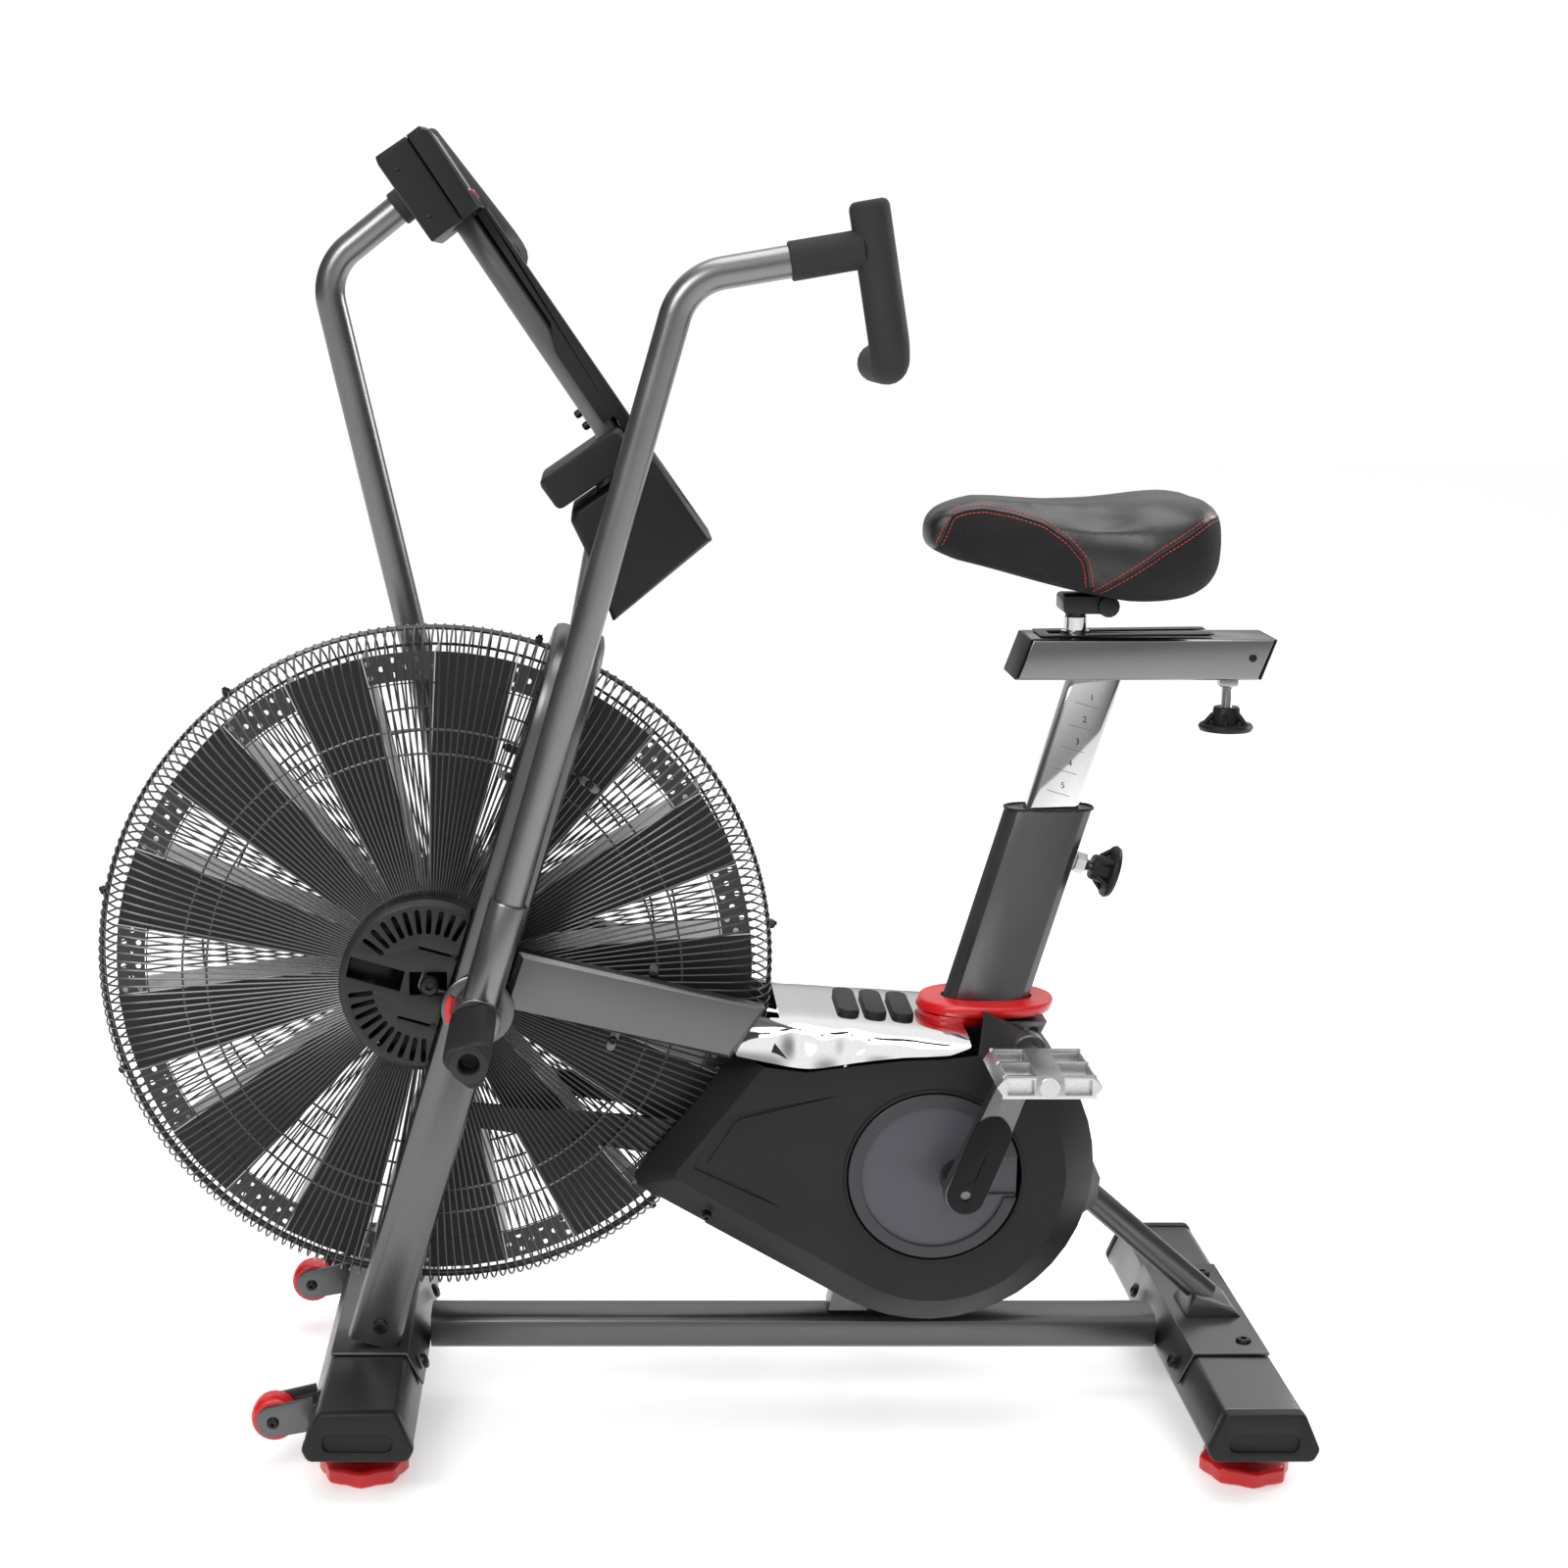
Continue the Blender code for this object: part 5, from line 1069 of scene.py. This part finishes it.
def saddle():
    pad = cad_copy("saddle")
    pad.name = "saddle_pad"
    rounding = pad.modifiers.new("round", "SUBSURF")
    rounding.levels = rounding.render_levels = 2
    finish_modifiers(pad)
    middle = Vector((0.4025, 0.0, 0.965))
    for vertex in pad.data.vertices:
        vertex.co = middle + Vector((a * b for a, b in zip(vertex.co - middle, (1.005, 0.985, 1.01))))
    pick(pad)
    pad.data.remesh_voxel_size = 0.0045
    bpy.ops.object.voxel_remesh()
    rest = [vertex.co.copy() for vertex in pad.data.vertices]
    cloth = pad.modifiers.new("stuffing", "CLOTH")
    cloth.settings.use_pressure = True
    cloth.settings.uniform_pressure_force = 4.0
    cloth.settings.effector_weights.gravity = 0.0
    scene = bpy.context.scene
    for step in range(1, 21):
        scene.frame_set(step)
    finish_modifiers(pad)
    scene.frame_set(1)
    for vertex, home in zip(pad.data.vertices, rest):
        moved = vertex.co - home
        most = 0.004
        if moved.length > most:
            vertex.co = home + moved * (most / moved.length)
    for vertex in pad.data.vertices:
        x, y, z = vertex.co
        top = max(0.0, min(1.0, (z - 0.985) / 0.02))
        channel = math.exp(-((y / 0.02) ** 2)) * max(0.0, 1 - ((x - 0.43) / 0.13) ** 2)
        waist = math.exp(-(((x - 0.425) / 0.035) ** 2)) * max(0.0, min(1.0, (abs(y) - 0.03) / 0.05))
        vertex.co.z = z - top * 0.0065 * channel - top * 0.012 * waist
        vertex.co.y = y * (1 - 0.05 * math.exp(-(((x - 0.425) / 0.03) ** 2)))
    rounding = pad.modifiers.new("round", "SUBSURF")
    rounding.levels = rounding.render_levels = 1
    finish_modifiers(pad)
    pick(pad)
    bpy.ops.object.shade_smooth()
    wear(pad, "saddle_pad", "saddle", "vinyl", replaces="saddle")
    pad.data.materials.append(FINISH["side_mesh"])
    for face in pad.data.polygons:
        x, y, z = face.center
        face.material_index = 1 if z < seam_height(x) and face.normal.z < 0.8 and x > 0.258 else 0
    stitch_seams(pad)


def stitch_seams(pad):
    """Two rows of thread along each seam, with a thin cord of piping between them."""
    stitches = bmesh.new()
    pipes = []
    for side in (-1, 1):
        for seam in (FRONT_SEAM, REAR_SEAM):
            course = []
            for (x0, z0), (x1, z1) in zip(seam, seam[1:]):
                count = max(2, int(math.hypot(x1 - x0, z1 - z0) / 0.0015))
                course += [
                    Vector((x0 + (x1 - x0) * k / count, 0, z0 + (z1 - z0) * k / count))
                    for k in range(count)
                ]
            for _ in range(12):
                inner = [(a + b * 2 + c) / 4 for a, b, c in zip(course, course[1:], course[2:])]
                course = [course[0]] + inner + [course[-1]]
            for shift in (-0.0034, 0.0, 0.0034):
                laid = []
                for k in range(1, len(course) - 1):
                    run = (course[k + 1] - course[k - 1]).normalized()
                    flat = course[k] + Vector((-run.z, 0, run.x)) * shift
                    hit, place, normal, _ = pad.ray_cast(
                        Vector((flat.x, side * 0.3, flat.z)), Vector((0, -side, 0))
                    )
                    if hit:
                        laid.append((place, normal))
                if shift == 0.0:
                    if len(laid) > 3:
                        pipes.append(tube([p + n * 0.0001 for p, n in laid[::2]], 0.0008, 2))
                    continue
                for (a, n), (b, _) in zip(laid[::3], laid[2::3]):
                    if (b - a).length > 0.009 or (b - a).length < 0.0008:
                        continue
                    run = (b - a).normalized()
                    turn = run.to_track_quat("Z", "Y").to_matrix().to_4x4()
                    place = Matrix.Translation((a + b) / 2 + n * 0.0002) @ turn
                    bmesh.ops.create_cone(
                        stitches, cap_ends=True, segments=6, radius1=0.00055, radius2=0.00055,
                        depth=(b - a).length * 1.05, matrix=place,
                    )
    put_down()
    bpy.ops.mesh.primitive_cylinder_add(vertices=6, radius=0.001, depth=0.002)
    thread = bpy.context.object
    stitches.to_mesh(thread.data)
    stitches.free()
    seat_at_origin(thread)
    wear(smooth(thread, 60), "seam_thread", "saddle", "vinyl", "thread")
    wear(pipes, "seam_piping", "saddle", "vinyl")


# ---- Console ------------------------------------------------------------------------------------


def on_panel(s, t, y=0.0):
    ps, pc = math.sin(PANEL_SLOPE), math.cos(PANEL_SLOPE)
    return Vector((PANEL_TOP.x + s * pc + t * ps, y, PANEL_TOP.z - s * ps + t * pc))


def console_details():
    outline = [
        on_panel(s, t).xz
        for s, t in ((0.01, 0.0608), (0.078, 0.0603), (0.078, 0.0622), (0.01, 0.0627))
    ]
    screen = slab([(p.x, p.y) for p in outline], -0.074, 0.04)
    wear(soften(screen, 0.001), "display_glass", "frame", "plastic", "glass")
    keys = []
    for k in range(4):
        y = -0.066 + 0.027 * k
        keys.append(
            turned_piece(
                on_panel(0.089, 0.06, y), on_panel(0, 1) - on_panel(0, 0),
                [(0.0062, 0.0), (0.0062, 0.0018), (0.005, 0.0026)], 24,
            ),
        )
    wear(keys, "display_keys", "frame", "plastic", "rubber")
    screws = []
    for side in (-1, 1):
        screws.append(bolt(on_panel(0.024, 0.0125, side * 0.0895), (0, side, 0), 0.0034, 0.0015))
        screws.append(bolt(on_panel(0.08, 0.0125, side * 0.0895), (0, side, 0), 0.0034, 0.0015))
    for s in (0.33, 0.345):
        screws.append(bolt(on_panel(s, 0.0245), on_panel(0, -1) - on_panel(0, 0), 0.0045, 0.006))
    wear(screws, "console_screws", "frame", "plastic", "screw")


# ---- Room ---------------------------------------------------------------------------------------


def soft_room(tree):
    """A white room whose reflections have darker flanks and a darker skirting, as studio flags give."""
    nodes = tree.nodes
    plain = (1.0, 1.0, 1.0, 1.0)
    shade = dial(nodes["Background"], Color=plain)
    white = add(nodes, "Background", Color=plain, Strength=1.05)
    look = add(nodes, "TexCoord")
    parts = add(nodes, "SeparateXYZ")
    flank = nodes.new("ShaderNodeMath")
    flank.operation = "ABSOLUTE"
    sides = add(nodes, "MapRange", From_Min=0.28, From_Max=0.75, To_Min=0.95, To_Max=0.16)
    height = add(nodes, "MapRange", From_Min=-0.05, From_Max=0.6, To_Min=0.35, To_Max=1.15)
    sides.interpolation_type = height.interpolation_type = "SMOOTHSTEP"
    both = product(nodes)
    eye = add(nodes, "LightPath")
    choose = add(nodes, "MixShader")
    join(
        tree.links,
        (look, "Generated", parts, "Vector"), (parts, "X", flank, 0), (flank, 0, sides, "Value"),
        (parts, "Z", height, "Value"), (sides, "Result", both, 0), (height, "Result", both, 1),
        (both, 0, shade, "Strength"), (eye, "Is Camera Ray", choose, "Fac"),
        (shade, "Background", choose, 1), (white, "Background", choose, 2),
        (choose, "Shader", nodes["World Output"], "Surface"),
    )


def stage_and_camera():
    paper = bpy.data.materials.new("white_paper")
    paper.use_nodes = True
    dial(paper.node_tree.nodes["Principled BSDF"], Base_Color=(0.9, 0.9, 0.9, 1.0), Roughness=0.3,
         Specular_IOR_Level=0.25, Emission_Color=(1.0, 1.0, 1.0, 1.0), Emission_Strength=0.38)
    put_down()
    bpy.ops.mesh.primitive_plane_add(size=30.0, location=(0, 0, 0))
    floor = bpy.context.object
    floor.name = "floor"
    floor.data.materials.append(paper)
    world = bpy.data.worlds.new("studio")
    bpy.context.scene.world = world
    world.use_nodes = True
    soft_room(world.node_tree)
    for name, place, aim, size, power in (
        ("key", (-1.9, -2.6, 2.9), (0, 0, 0.6), 1.6, 62),
        ("top", (0.3, 0.2, 3.6), (0, 0, 0.4), 2.2, 52),
        ("rim", (2.6, 1.4, 2.0), (0.1, 0, 0.6), 1.2, 38),
    ):
        bpy.ops.object.light_add(type="AREA", location=place)
        lamp = bpy.context.object
        lamp.name = f"{name}_lamp"
        lamp.data.size = size
        lamp.data.energy = power
        lamp.rotation_euler = (Vector(aim) - Vector(place)).to_track_quat("-Z", "Y").to_euler()
    bpy.ops.object.camera_add(location=(-0.0976, -2.768, 1.247), rotation=(math.radians(79), 0, 0))
    camera = bpy.context.object
    camera.data.lens = 59.6
    camera.data.sensor_width = 36.0
    camera.data.shift_x = 0.119
    camera.data.shift_y = -0.003
    bpy.context.scene.camera = camera


dress_frame()
frame_fittings()
cage_clips()
fan_wheel()
hood_and_pads()
red_collar()
pillar_details()
slider_details()
saddle()
console_details()
for SIDE, WORD in SIDES:
    wire_cage(SIDE, WORD)
    hub_cover(SIDE, WORD)
    swing_arm(SIDE, WORD)
    crank_and_pedal(SIDE, WORD)
    side_cover(SIDE, WORD)
stage_and_camera()
bpy.context.scene.view_settings.view_transform = "Standard"
put_down()
